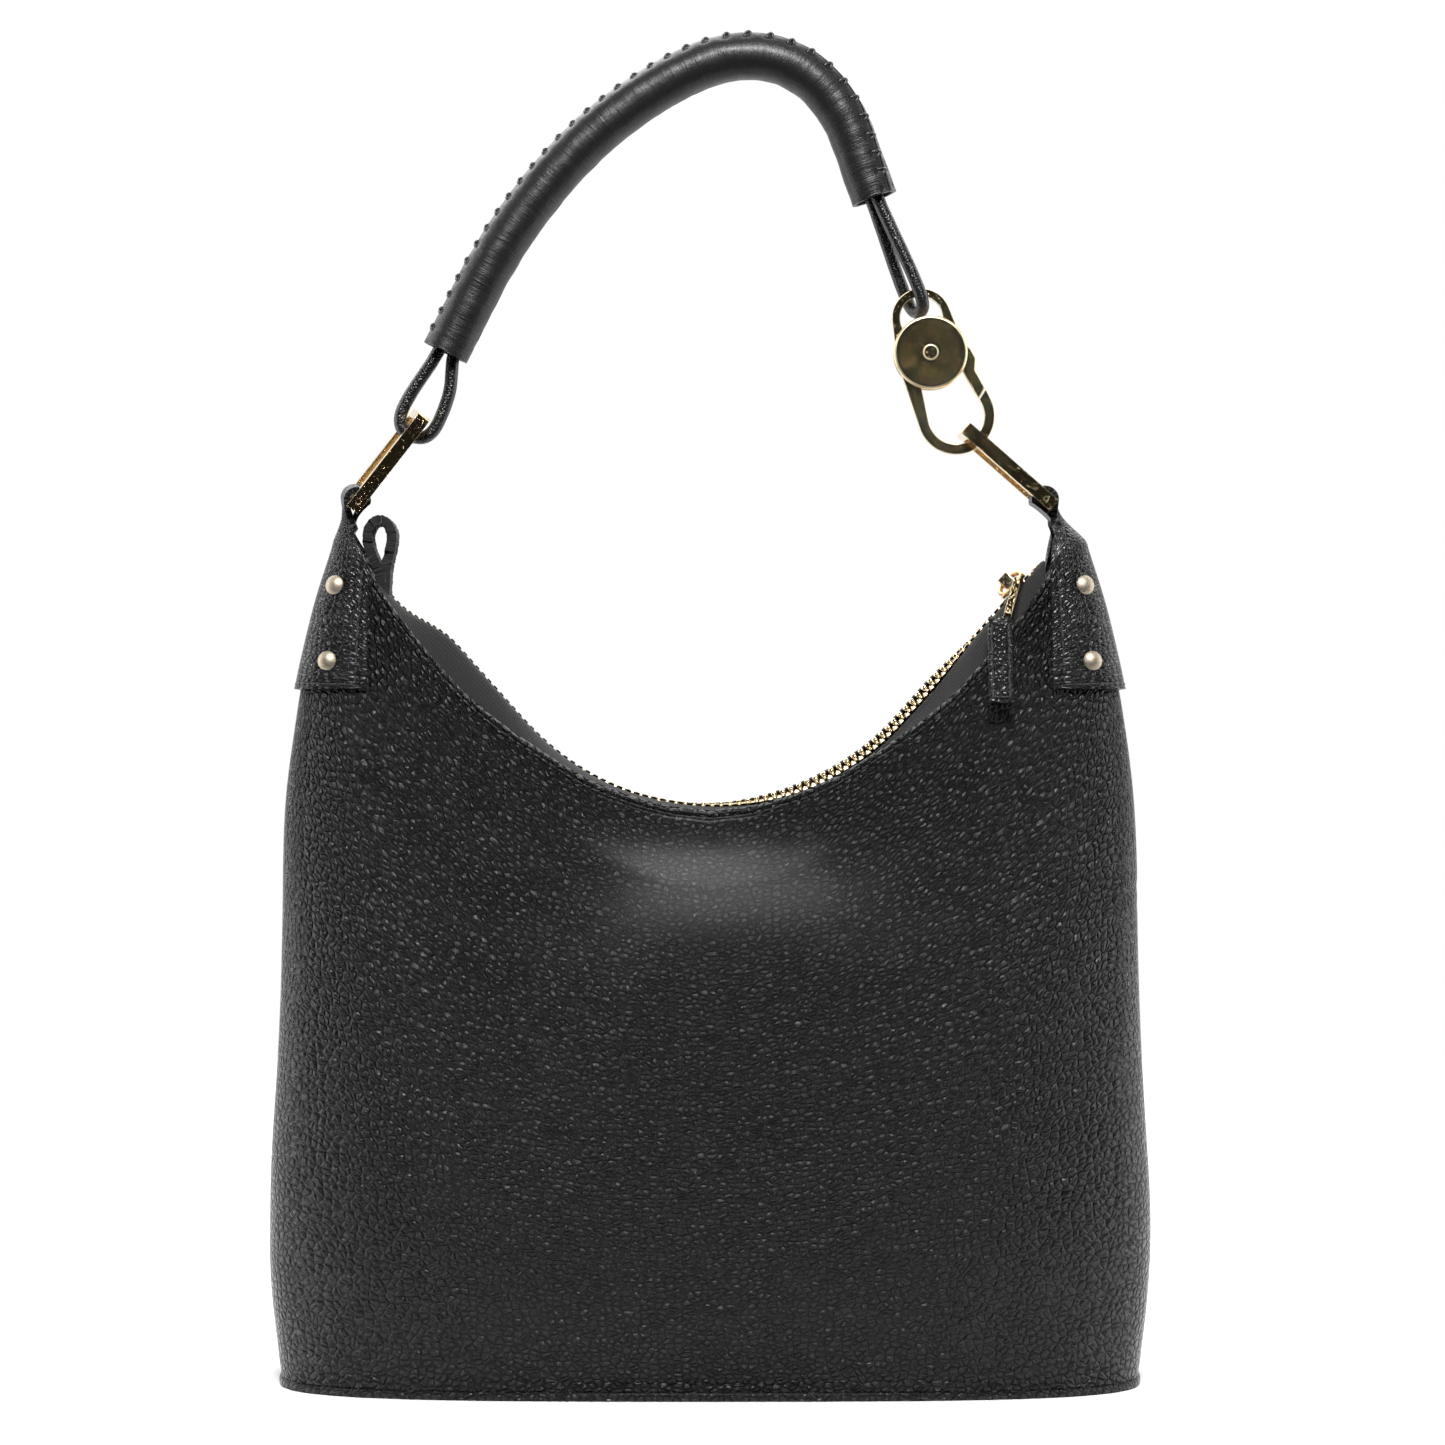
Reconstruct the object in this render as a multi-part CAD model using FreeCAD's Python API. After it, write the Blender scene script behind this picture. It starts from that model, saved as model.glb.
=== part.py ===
import FreeCAD, Part
import math
import os

# Hobo bag: two leather panels on a stiffened base, a zip along the dipped mouth, and a rolled handle
# that hangs from two U shackles, with a snap clip at its right end.
# Frame: X to the wearer's right in front view, Y to the back, Z up, origin at the middle of the base.

V = FreeCAD.Vector

# ---- bag body ----
body_half_width = 140.0      # widest, low on the sides
base_half_width = body_half_width - 4.0
ear_half_width = body_half_width - 21.5   # side seams at the very top
base_half_depth = 45.0
belly_half_depth = 48.0
mouth_half_depth = 13.0
ear_height = 266.0           # top of the side seams
mouth_height = ear_height - 84.5   # lowest point of the rim
corner_power = 3.5           # superellipse power of the plan section
leather = 1.8                # panel thickness
base_thickness = 3.0
base_edge = 0.8              # the base stands proud of the panels by this much
base_round = 1.2
board_thickness = 2.0
board_inset = 2.8
lining_thickness = 0.6
lining_gap = 1.0             # between panel and lining
pocket_gap = 0.4
lining_drop = 12.0           # the lining ends this far under the rim
pocket_low = 70.0
pocket_high = 145.0
pocket_reach = 0.45          # half width as a share of the bag's

# ---- zip ----
chain_arc = ear_half_width - 36.5   # radius of the chain round the bottom of the mouth
chain_lift = 0.8             # chain above the rim at the middle
chain_end_inset = 14.0       # chain ends this far inside the ear seams
chain_end_drop = 8.0         # and this far under the ear tops
tooth_pitch = 2.9
tooth_length = 1.5
tooth_inner = 0.65
tooth_outer = 3.1
tooth_height = 2.4
tape_thickness = 0.7
tape_flat = 5.4              # the tape is flat this far from the middle
tape_sink = 3.0              # and meets the panel this far under the rim
tape_gap = 0.05
tape_panel_gap = 0.5
slider_length = 10.0
slider_half_width = 4.0
slider_gap = 1.5             # half the room inside the slider
slider_plate = 1.2
slider_setback = 9.0         # from the chain's end
slider_web = 0.35
bail_half_width = 1.9
bail_height = 4.4
bail_bar = 1.0
bail_opening = 2.0
bail_play = 0.45             # ring wire under the bail's bar
ring_radius = 4.5
ring_wire = 0.75
ring_lean = 20.0             # the ring leans this far below level, to the front
clasp_width = 2.4
clasp_thickness = 3.6
clasp_drop = V(-3.2, -7.4, -9.6)
clasp_eye = 1.4
clasp_head = 2.4
pull_width = 7.6
pull_length = 28.0
pull_thickness = 2.2
pull_lean = 12.0             # follows the panel's slope
pull_shift = V(-2.4, -0.6, -0.4)  # the clasp grips the pull near its right edge
end_loop_radius = 4.4
end_loop_wall = 1.5
end_loop_height = 10.5
end_loop_half_depth = 5.5
stop_size = 2.6

# ---- tabs at the ears ----
tab_inner_x = ear_half_width - 10.5   # upright stitched edge
tab_low = ear_height - 46.0  # lower stitched edge
tab_leather = 1.8
tab_gap = 0.35
tab_top = 2.5                # above the ear seams
neck_half_depth = 6.6
rivet_radius = 3.2
rivet_dome = 1.5
rivet_shank = 1.1
rivet_base = 2.2
rivet_base_thickness = 0.35
rivet_base_gap = 0.42
rivet_low = (ear_half_width + 2.0, ear_height - 37.5)
rivet_high = (ear_half_width - 0.2, ear_height - 13.5)

# ---- shackles ----
pin_left = V(5.1 - ear_half_width, 0, ear_height + 14.8)
pin_right = V(ear_half_width - 11.7, 0, ear_height + 14.4)
shackle_reach = 33.0         # pin to middle of the bow
shackle_gap = 14.6           # between the arms
bar_thickness = 3.0
bar_width = 4.3
shackle_tail = 3.2           # arm past the pin
pin_radius = 2.0
pin_end_radius = 0.8
pin_end_recess = 0.6
left_angle = 52.0            # long axis above level
right_angle = 138.7
left_twist = 13.0            # turned about its long axis
loop_clearance = 0.3
loop_leather = 2.0
loop_width = 12.0

# ---- clip ----
clip_thickness = 3.6
hook_radius = 12.3
hook_rim = 3.3
hook_clearance = 0.95        # between the bow and the hook's rim
hook_seat_angle = -57.0      # where the bow rests in the hook
clip_axis_angle = 109.5
disc_offset = V(-1.0, 0, 21.8)
disc_radius = 11.8
disc_thickness = 1.7
disc_bevel = 0.5
plate_radius = 11.0
eye_offset = 33.3
eye_radius = 9.4
eye_rim = 2.6
screw_head = 2.5
screw_head_height = 0.9
screw_slot = 0.6
screw_shank = 1.5
gate_thickness = 2.6
gate_pivot = V(8.6, 0, 18.6)
gate_boss = 2.8
gate_pin_radius = 0.8
gate_gap = 0.45
running = 0.05

# ---- handle ----
cord_diameter = 4.2
cord_spacing = 4.5
cord_bow_clearance = 0.6
strand_bend = 3.5            # each way from where a strand leaves the sleeve
left_drop = 22.5             # sleeve end to the bow
left_drop_angle = 67.5
right_drop = 33.0            # sleeve end to the clip's eye
right_drop_angle = 111.8
sleeve_diameter = 12.2
sleeve_wall = 1.4
cord_in_sleeve = 17.0
core_diameter = 8.6
lace_pitch = 5.9
lace_diameter = 1.2
lace_reach = 2.0
lace_margin = 5.0
# The handle's line, from left to right: share of its length, and how far it turns down in degrees.
handle_bends = [(0.105, 0.0), (0.228, 14.5), (0.238, 21.0), (0.067, 13.0),
                (0.052, 17.0), (0.124, 46.0), (0.090, 22.0), (0.096, 0.0)]


def along(angle):
    """Unit vector in the XZ plane, angle in degrees above +X."""
    return V(math.cos(math.radians(angle)), 0, math.sin(math.radians(angle)))


def smooth(stations, t):
    """Value at t of a soft curve through (t, value) stations."""
    last = len(stations) - 1
    k = 0
    while k < last - 1 and t > stations[k + 1][0]:
        k += 1

    def slope(i):
        a, b = stations[max(i - 1, 0)], stations[min(i + 1, last)]
        return (b[1] - a[1]) / (b[0] - a[0])
    (t0, a), (t1, b) = stations[k], stations[k + 1]
    width = t1 - t0
    u = (t - t0) / width
    p, q = slope(k) * width, slope(k + 1) * width
    return a + u * (p + u * (3 * (b - a) - 2 * p - q + u * (2 * (a - b) + p + q)))


mouth_rise = ear_height - mouth_height
# Rim: share of the half width, share of the rise from the mouth's middle to the ears.
rim_line = [(-0.244, 0.089), (0.0, 0.0), (0.244, 0.089), (0.427, 0.252), (0.563, 0.402),
            (0.684, 0.574), (0.823, 0.787), (0.935, 0.953), (1.0, 1.0)]
# Side seams: share of the ear height, half width.
side_line = [(0.0, base_half_width), (0.17, body_half_width), (0.45, body_half_width - 3.6),
             (0.68, body_half_width - 4.6), (0.81, body_half_width - 8.7),
             (0.92, body_half_width - 15.0), (1.0, ear_half_width)]
# Panels: share of the way up to the rim, half depth.
depth_line = [(0.0, base_half_depth), (0.25, belly_half_depth), (0.5, belly_half_depth - 8.0),
              (0.75, 0.5 * (belly_half_depth + mouth_half_depth) - 5.5), (1.0, mouth_half_depth)]


def rim_height(share):
    return mouth_height + mouth_rise * smooth(rim_line, abs(share))


def half_width(z):
    return smooth(side_line, z / ear_height)


def plan_point(share, side, width, depth, offset):
    """Point of the plan section, moved out along its normal by offset."""
    x = width * share
    fill = max(0.0, 1.0 - abs(share) ** corner_power) ** (1.0 / corner_power)
    y = side * depth * fill
    gx = math.copysign(abs(share) ** (corner_power - 1) / width, share)
    gy = side * fill ** (corner_power - 1) / depth
    size = math.hypot(gx, gy)
    return x + offset * gx / size, y + offset * gy / size


def bag_point(share, z, side, offset=0.0):
    """Point of the bag's skin at a share of the half width and a height."""
    up = (z - base_thickness) / (rim_height(share) - base_thickness)
    x, y = plan_point(share, side, half_width(z), smooth(depth_line, up), offset)
    return V(x, y, z)


def column_shares(steps):
    """Shares of the half width from left to right, close together near the side seams."""
    out = []
    for k in range(steps + 1):
        c = math.cos(math.pi * (1 - k / steps))
        out.append(math.copysign(abs(c) ** (2 / corner_power), c))
    return out


def surface(grid):
    made = Part.BSplineSurface()
    made.interpolate(grid)
    return made.toShape()


def sheet(outer, inner):
    """Closed solid between two grids of points."""
    a, b = surface(outer), surface(inner)
    walls = [Part.makeRuledSurface(p, q) for p, q in zip(a.Edges, b.Edges)]
    shell = Part.makeShell([a, b] + walls)
    shell.sewShape()
    solid = Part.makeSolid(Part.Shell(shell.Faces))
    if solid.Volume < 0:
        solid.reverse()
    return solid


def skin(side, low, drop, outer, inner, shares, rows=12):
    """Sheet that follows the bag from a height up to drop under the rim."""
    def grid(offset):
        return [[bag_point(s, low + (rim_height(s) - drop - low) * r / rows, side, offset)
                 for s in shares] for r in range(rows + 1)]
    return sheet(grid(outer), grid(inner))


def plan_plate(low, high, offset):
    """Flat plate with the outline of the base."""
    count = 48
    points = []
    for k in range(count):
        a = 2 * math.pi * k / count
        c, s = math.cos(a), math.sin(a)
        share = math.copysign(abs(c) ** (2 / corner_power), c)
        side = 1 if s >= 0 else -1
        x, y = plan_point(share, side, base_half_width, base_half_depth, offset)
        points.append(V(x, y, low))
    line = Part.BSplineCurve()
    line.interpolate(Points=points, PeriodicFlag=True)
    return Part.Face(Part.Wire(line.toShape())).extrude(V(0, 0, high - low))


def tube(edges, diameter):
    """Round bar along a wire of straight runs and tangent arcs."""
    path = Part.Wire(edges)
    start = path.Edges[0]
    at = start.valueAt(start.FirstParameter)
    facing = start.tangentAt(start.FirstParameter)
    ring = Part.Wire(Part.makeCircle(diameter / 2, at, facing))
    return path.makePipeShell([ring], True, False)


def disc(centre, radius, low, high):
    """Round plate with its axis along Y, from y = low to y = high."""
    return Part.makeCylinder(radius, high - low, V(centre.x, low, centre.z), V(0, 1, 0))


def slab(points, low, high):
    """Flat plate with a straight-sided outline in XZ, from y = low to y = high."""
    loop = [V(p.x, low, p.z) for p in points]
    return Part.Face(Part.makePolygon(loop + loop[:1])).extrude(V(0, high - low, 0))


def belt(c1, r1, c2, r2, low, high):
    """Plate whose outline wraps two circles, like a belt round two pulleys."""
    gap = c2 - c1
    lean = math.degrees(math.acos((r1 - r2) / gap.Length))
    heading = math.degrees(math.atan2(gap.z, gap.x))
    corners = [c1 + along(heading + lean) * r1, c2 + along(heading + lean) * r2,
               c2 + along(heading - lean) * r2, c1 + along(heading - lean) * r1]
    plate = slab(corners, low, high)
    return plate.fuse([disc(c1, r1, low, high), disc(c2, r2, low, high)]).removeSplitter()


parts = {}

# ---- base, panels and lining ----
shares = column_shares(32)
lining_out = -(leather + lining_gap)
lining_in = lining_out - lining_thickness
board_top = base_thickness + board_thickness
lining_low = board_top + lining_thickness

base = plan_plate(0, base_thickness, base_edge)
lower_edges = [e for e in base.Edges if e.BoundBox.ZMax < base_thickness / 2]
parts["base_panel"] = base.makeFillet(base_round, lower_edges)
parts["base_board"] = plan_plate(base_thickness, board_top, -board_inset)
parts["lining_base"] = plan_plate(board_top, lining_low, lining_out)
for name, side in (("front", -1), ("back", 1)):
    parts[name + "_panel"] = skin(side, base_thickness, 0, 0, -leather, shares)
    parts["lining_" + name] = skin(side, lining_low, lining_drop, lining_out, lining_in, shares)

pocket_shares = [pocket_reach * (2 * k / 16 - 1) for k in range(17)]
pocket_out = lining_in - pocket_gap


def pocket_grid(offset):
    rows = 8
    return [[bag_point(s, pocket_low + (pocket_high - pocket_low) * r / rows, 1, offset)
             for s in pocket_shares] for r in range(rows + 1)]


parts["slip_pocket"] = sheet(pocket_grid(pocket_out), pocket_grid(pocket_out - lining_thickness))

# ---- zip chain: an arc under the mouth, with a straight slope to each end ----
chain_low = mouth_height + chain_lift
chain_end = V(ear_half_width - chain_end_inset, 0, ear_height - chain_end_drop)
arc_centre = V(0, 0, chain_low + chain_arc)
to_end = chain_end - arc_centre
touch_angle = (math.degrees(math.atan2(to_end.z, to_end.x))
               - math.degrees(math.acos(chain_arc / to_end.Length)))
slope = touch_angle + 90
slope_length = math.sqrt(to_end.Length ** 2 - chain_arc ** 2)
half_arc = chain_arc * math.radians(slope)
half_chain = half_arc + slope_length


def chain(s):
    """Point of the chain and its heading, s from the middle along it."""
    side = 1 if s >= 0 else -1
    run = abs(s)
    if run < half_arc:
        angle = math.degrees(run / chain_arc)
        point = arc_centre + along(angle - 90) * chain_arc
    else:
        angle = slope
        point = chain_end - along(slope) * (half_chain - run)
    return V(side * point.x, 0, point.z), side * angle


def tape_grid(side, shift):
    grid = []
    for k in range(41):
        at, angle = chain(half_chain * (k / 20 - 1))
        share = at.x / half_width(at.z)
        low = bag_point(share, rim_height(share) - tape_sink, side, -(leather + tape_panel_gap))
        row = []
        for u in (0.0, 0.25, 0.5, 0.75, 1.0):
            start = side * (tooth_outer + tape_gap)
            y = start + (low.y - start) * u
            fall = max(0.0, (abs(y) - tape_flat) / (abs(low.y) - tape_flat)) ** 2
            z = at.z + (low.z - at.z) * fall
            up = along(angle + 90) * shift
            row.append(V(at.x, y, z) + up)
        grid.append(row)
    return grid


for name, side in (("front", -1), ("back", 1)):
    parts["zip_tape_" + name] = sheet(tape_grid(side, tape_thickness / 2),
                                      tape_grid(side, -tape_thickness / 2))
    count = int((half_chain - stop_size) / tooth_pitch)
    teeth = []
    for k in range(-count, count + 1):
        at, angle = chain(k * tooth_pitch + side * tooth_pitch / 4)
        low = min(side * tooth_inner, side * tooth_outer)
        tooth = Part.makeBox(tooth_length, tooth_outer - tooth_inner, tooth_height,
                             V(-tooth_length / 2, low, -tooth_height / 2))
        tooth.Placement = FreeCAD.Placement(at, FreeCAD.Rotation(V(0, 1, 0), -angle))
        teeth.append(tooth)
    parts["zip_teeth_" + name] = Part.makeCompound(teeth)

stops = []
for side in (-1, 1):
    at, angle = chain(side * (half_chain - stop_size / 2 + tooth_pitch / 2))
    stop = Part.makeBox(stop_size, 2 * tooth_outer, tooth_height,
                        V(-stop_size / 2, -tooth_outer, -tooth_height / 2))
    stop.Placement = FreeCAD.Placement(at, FreeCAD.Rotation(V(0, 1, 0), -angle))
    stops.append(stop)
parts["zip_stops"] = Part.makeCompound(stops)

# Folded end of the tape, which stands up inside the left ear.
loop_low = V(-chain_end.x + 2.5, 0, chain_end.z + 3.0)
loop_high = loop_low + along(100) * end_loop_height
outer = belt(loop_low, end_loop_wall + 0.6, loop_high, end_loop_radius,
             -end_loop_half_depth, end_loop_half_depth)
inner = belt(loop_low, 0.5, loop_high, end_loop_radius - end_loop_wall,
             -2 * end_loop_half_depth, 2 * end_loop_half_depth)
parts["zip_end_loop"] = outer.cut(inner)

# ---- slider and pull, drawn with the chain along local X, then turned onto the slope ----
slider_at = chain_end - along(slope) * slider_setback
on_slope = FreeCAD.Placement(slider_at, FreeCAD.Rotation(V(0, 1, 0), -slope))
plate_top = slider_gap + slider_plate


def block(x0, x1, y0, y1, z0, z1):
    return Part.makeBox(x1 - x0, y1 - y0, z1 - z0, V(x0, y0, z0))


half = slider_length / 2
plates = [block(-half, half, -slider_half_width, slider_half_width, slider_gap, plate_top),
          block(-half, half, -slider_half_width, slider_half_width, -plate_top, -slider_gap),
          block(-half / 4, half / 4, -slider_web, slider_web, -slider_gap, slider_gap)]
bail = block(-bail_half_width, bail_half_width, -bail_opening - bail_bar, bail_opening + bail_bar,
             plate_top, plate_top + bail_height)
bail = bail.cut(block(-2 * half, 2 * half, -bail_opening, bail_opening,
                      plate_top, plate_top + bail_height - bail_bar))
slider = plates[0].fuse(plates[1:] + [bail]).removeSplitter()
slider.Placement = on_slope
parts["zip_slider"] = slider

ring_pivot = on_slope.multVec(V(0, 0, plate_top + bail_height - bail_bar - ring_wire - bail_play))
lean = math.radians(ring_lean)
ring_out = V(0, -math.cos(lean), 0) - along(slope + 90) * math.sin(lean)
ring_centre = ring_pivot + ring_out * ring_radius
ring_face = along(slope).cross(ring_out)
parts["pull_ring"] = Part.makeTorus(ring_radius, ring_wire, ring_centre, ring_face)

# Clasp: a folded strip that hooks round the ring and grips the leather pull.
ring_foot = ring_pivot + ring_out * (2 * ring_radius)
pull_top = ring_foot + clasp_drop
clasp_turn = FreeCAD.Rotation(V(0, 0, -1), clasp_drop)
clasp = Part.makeBox(clasp_width, clasp_thickness, clasp_drop.Length + clasp_head,
                     V(-clasp_width / 2, -clasp_thickness / 2, -clasp_drop.Length))
clasp.Placement = FreeCAD.Placement(ring_foot, clasp_turn)
clasp_hole = Part.makeCylinder(clasp_eye, 6 * clasp_width, ring_foot - along(slope) * (3 * clasp_width),
                               along(slope))
parts["pull_clasp"] = clasp.cut(clasp_hole)

pull = Part.makeBox(pull_width, pull_thickness, pull_length,
                    V(-pull_width / 2, -pull_thickness / 2, -pull_length))
pull.Placement = FreeCAD.Placement(pull_top + pull_shift,
                                   FreeCAD.Rotation(V(1, 0, 0), -pull_lean))
parts["pull_tab"] = pull.cut(clasp)

# ---- tabs, with the loops for the shackle pins ----
tab_out = tab_gap + tab_leather
tab_high = ear_height + tab_top


def tab_skin(hand):
    """Leather wrapped round the ear from front to back."""
    def grid(offset):
        rows, steps = 8, 12
        out = []
        for r in range(rows + 1):
            z = tab_low + (tab_high - tab_low) * r / rows
            start = math.acos((tab_inner_x / half_width(min(z, ear_height))) ** (corner_power / 2))
            line = []
            for k in range(2 * steps + 1):
                u = 1 - k / steps
                share = math.cos(start * u) ** (2 / corner_power)
                height = min(z, ear_height)
                side = -1 if u >= 0 else 1
                depth = smooth(depth_line, min(1.0, (height - base_thickness)
                                               / (rim_height(share) - base_thickness)))
                x, y = plan_point(share, side, half_width(height), depth, offset)
                line.append(V(hand * x, y, z))
            out.append(line)
        return out
    return sheet(grid(tab_out), grid(tab_gap))


def shackle_turn(angle, twist):
    return FreeCAD.Rotation(V(0, 1, 0), -angle).multiply(FreeCAD.Rotation(V(1, 0, 0), twist))


def pin_barrel(pin, turn, radius, half_length):
    """Round bar on a shackle pin's axis."""
    bar = Part.makeCylinder(radius, 2 * half_length, V(0, -half_length, 0), V(0, 1, 0))
    bar.Placement = FreeCAD.Placement(pin, turn)
    return bar


def tab_neck(hand, pin, turn):
    """Leather drawn in from the tab up to the loop round the pin."""
    x0, x1 = hand * (tab_inner_x + 0.8), hand * (ear_half_width + 0.9)
    half_low, half_high = neck_half_depth, loop_width / 2
    low_z, high_z = tab_high - 1.4, pin.z
    radius = pin_radius + loop_clearance + loop_leather
    low = Part.makePolygon([V(x0, -half_low, low_z), V(x1, -half_low, low_z), V(x1, half_low, low_z),
                            V(x0, half_low, low_z), V(x0, -half_low, low_z)])
    a, b = pin.x - hand * radius, pin.x + hand * radius
    high = Part.makePolygon([V(a, -half_high, high_z), V(b, -half_high, high_z), V(b, half_high, high_z),
                             V(a, half_high, high_z), V(a, -half_high, high_z)])
    neck = Part.makeLoft([low, high], True, True)
    return neck.fuse(pin_barrel(pin, turn, radius, half_high))


def skin_place(x, z, side):
    """Where a rivet stands on the bag's skin, with its axis pointing out."""
    share = x / half_width(z)
    at = bag_point(share, z, side)
    up = bag_point(share, z + 1.0, side) - at
    across = bag_point(share * 0.99, z, side) - bag_point(share, z, side)
    out = up.cross(across)
    if out.y * side < 0:
        out = out * -1
    return FreeCAD.Placement(at, FreeCAD.Rotation(V(0, 0, 1), out))


rivet_seat = tab_out + 0.25
dome_sphere = (rivet_radius ** 2 + rivet_dome ** 2) / (2 * rivet_dome)
turn_left = shackle_turn(left_angle, left_twist)
turn_right = shackle_turn(right_angle, 0.0)
for hand, name, pin, turn in ((-1, "left", pin_left, turn_left), (1, "right", pin_right, turn_right)):
    tab = tab_skin(hand).fuse(tab_neck(hand, pin, turn))
    tab = tab.cut(pin_barrel(pin, turn, pin_radius + loop_clearance, 2 * loop_width))
    rivets = []
    for side, panel in ((-1, "front_panel"), (1, "back_panel")):
        for x, z in (rivet_low, rivet_high):
            place = skin_place(hand * x, z, side)
            dome = Part.makeSphere(dome_sphere, V(0, 0, rivet_seat + rivet_dome - dome_sphere))
            cap = dome.common(Part.makeCylinder(rivet_radius, rivet_dome, V(0, 0, rivet_seat)))
            shank = Part.makeCylinder(rivet_shank, rivet_seat + leather + rivet_base_gap,
                                      V(0, 0, -leather - rivet_base_gap))
            foot = Part.makeCylinder(rivet_base, rivet_base_thickness,
                                     V(0, 0, -leather - rivet_base_gap - rivet_base_thickness))
            rivet = cap.fuse([shank, foot]).removeSplitter()
            hole = Part.makeCylinder(rivet_shank + running, 4 * leather, V(0, 0, -2 * leather))
            rivet.Placement = place
            hole.Placement = place
            rivets.append(rivet)
            tab = tab.cut(hole)
            parts[panel] = parts[panel].cut(hole)
    parts[name + "_tab"] = tab.removeSplitter()
    parts["tab_rivets_" + name] = Part.makeCompound(rivets)

# ---- shackles: drawn with the pin at the origin, the bow along +X, and turned into place ----
def shackle_shape():
    arm_in, arm_out = shackle_gap / 2, shackle_gap / 2 + bar_thickness
    far = shackle_reach + bar_thickness / 2
    corner = bar_thickness
    body = block(-shackle_tail, far, -arm_out, arm_out, -bar_width / 2, bar_width / 2)
    bow_edges = [e for e in body.Edges
                 if e.BoundBox.XMin > far - 0.01 and e.BoundBox.ZLength > bar_width / 2]
    body = body.makeFillet(corner, bow_edges)
    body = body.cut(block(-2 * shackle_tail, far - bar_thickness, -arm_in, arm_in,
                          -bar_width, bar_width))
    ends = Part.makeCylinder(pin_end_radius, 4 * arm_out, V(0, -2 * arm_out, 0), V(0, 1, 0))
    return body.cut(ends)


def pin_shape():
    inner = Part.makeCylinder(pin_radius, shackle_gap, V(0, -shackle_gap / 2, 0), V(0, 1, 0))
    reach = shackle_gap / 2 + bar_thickness - pin_end_recess
    return inner.fuse(Part.makeCylinder(pin_end_radius, 2 * reach, V(0, -reach, 0), V(0, 1, 0)))


for name, pin, turn in (("left", pin_left, turn_left), ("right", pin_right, turn_right)):
    for piece, shape in (("_shackle", shackle_shape()), ("_shackle_pin", pin_shape())):
        shape.Placement = FreeCAD.Placement(pin, turn)
        parts[name + piece] = shape
bow_left = pin_left + along(left_angle) * shackle_reach
bow_right = pin_right + along(right_angle) * shackle_reach

# ---- clip: drawn with the hook's centre at the origin and the eye above it ----
half_clip = clip_thickness / 2
bow_half = bar_thickness / 2 + 0.45
seat_depth = hook_radius - hook_rim - bow_half - hook_clearance
hook_centre = bow_right - along(hook_seat_angle) * seat_depth
clip_place = FreeCAD.Placement(hook_centre, FreeCAD.Rotation(V(0, 1, 0), -(clip_axis_angle - 90)))
eye_at = V(0, 0, eye_offset)
origin = V(0, 0, 0)

frame = belt(origin, hook_radius, disc_offset, plate_radius, -half_clip, half_clip)
frame = frame.fuse(belt(disc_offset, plate_radius, eye_at, eye_radius, -half_clip, half_clip))
hook_hole = belt(origin, hook_radius - hook_rim, V(-1.2, 0, 10.5), hook_radius - hook_rim - 2.6,
                 -clip_thickness, clip_thickness)
keep_plate = disc(disc_offset, plate_radius, -clip_thickness, clip_thickness)
eye_hole = disc(eye_at, eye_radius - eye_rim, -clip_thickness, clip_thickness).cut(keep_plate)
gate_room = slab([V(7.0, 0, 1.25), V(9.0, 0, 2.75), V(14.5, 0, 7.25), V(16.0, 0, 22.6), V(10.4, 0, 22.6),
                  V(5.2, 0, 18.4), V(3.2, 0, 11.0), V(5.0, 0, 4.0)],
                 -clip_thickness, clip_thickness)
pocket = disc(gate_pivot, gate_boss + gate_gap, -clip_thickness, clip_thickness)
screw_hole = disc(disc_offset, screw_shank + running, -3 * clip_thickness, 3 * clip_thickness)
frame = frame.cut([hook_hole.cut(keep_plate), eye_hole, gate_room, pocket, screw_hole])
parts["clip_frame"] = frame.removeSplitter()

gate_half = gate_thickness / 2
gate = slab([V(8.6, 0, 2.75), V(11.75, 0, 5.4), V(10.75, 0, 12.0), V(12.2, 0, 15.3), V(11.5, 0, 19.4),
             V(9.2, 0, 21.2), V(6.2, 0, 19.4), V(6.9, 0, 11.0)], -gate_half, gate_half)
gate = gate.fuse(disc(gate_pivot, gate_boss, -gate_half, gate_half)).removeSplitter()
parts["clip_gate"] = gate.cut(disc(gate_pivot, gate_pin_radius + running, -clip_thickness, clip_thickness))
parts["gate_pin"] = disc(gate_pivot, gate_pin_radius, -half_clip, half_clip)
spring = disc(gate_pivot, gate_pin_radius + 1.0, gate_half + 0.1, half_clip - 0.1)
parts["gate_spring"] = spring.cut(disc(gate_pivot, gate_pin_radius + running, 0, clip_thickness))


def disc_plate(low, high, face_y):
    """Disc with its outer rim bevelled."""
    plate = disc(disc_offset, disc_radius, low, high)
    rim = [e for e in plate.Edges if abs(e.BoundBox.YMin - face_y) < 0.01 and e.BoundBox.YLength < 0.01]
    return plate.makeChamfer(disc_bevel, rim).cut(screw_hole)


front_face = -half_clip - disc_thickness
back_face = half_clip + disc_thickness
parts["clip_disc_front"] = disc_plate(front_face, -half_clip, front_face)
parts["clip_disc_back"] = disc_plate(half_clip, back_face, back_face)
head = disc(disc_offset, screw_head, front_face - screw_head_height, front_face)
slot = slab([disc_offset + along(clip_axis_angle - 180 + a) * screw_head * 2 + along(a + b) * screw_slot / 2
             for a, b in ((90, 0), (90, 180), (270, 180), (270, 0))],
            front_face - 2 * screw_head_height, front_face - screw_head_height / 3)
slot.rotate(disc_offset, V(0, 1, 0), clip_axis_angle)
screw = head.cut(slot).fuse(disc(disc_offset, screw_shank, front_face, back_face - 0.3))
parts["clip_screw"] = screw.removeSplitter()
clip_nodes = ("clip_frame", "clip_gate", "gate_pin", "gate_spring", "clip_disc_front", "clip_disc_back",
              "clip_screw")
for name in clip_nodes:
    parts[name].Placement = clip_place

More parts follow.
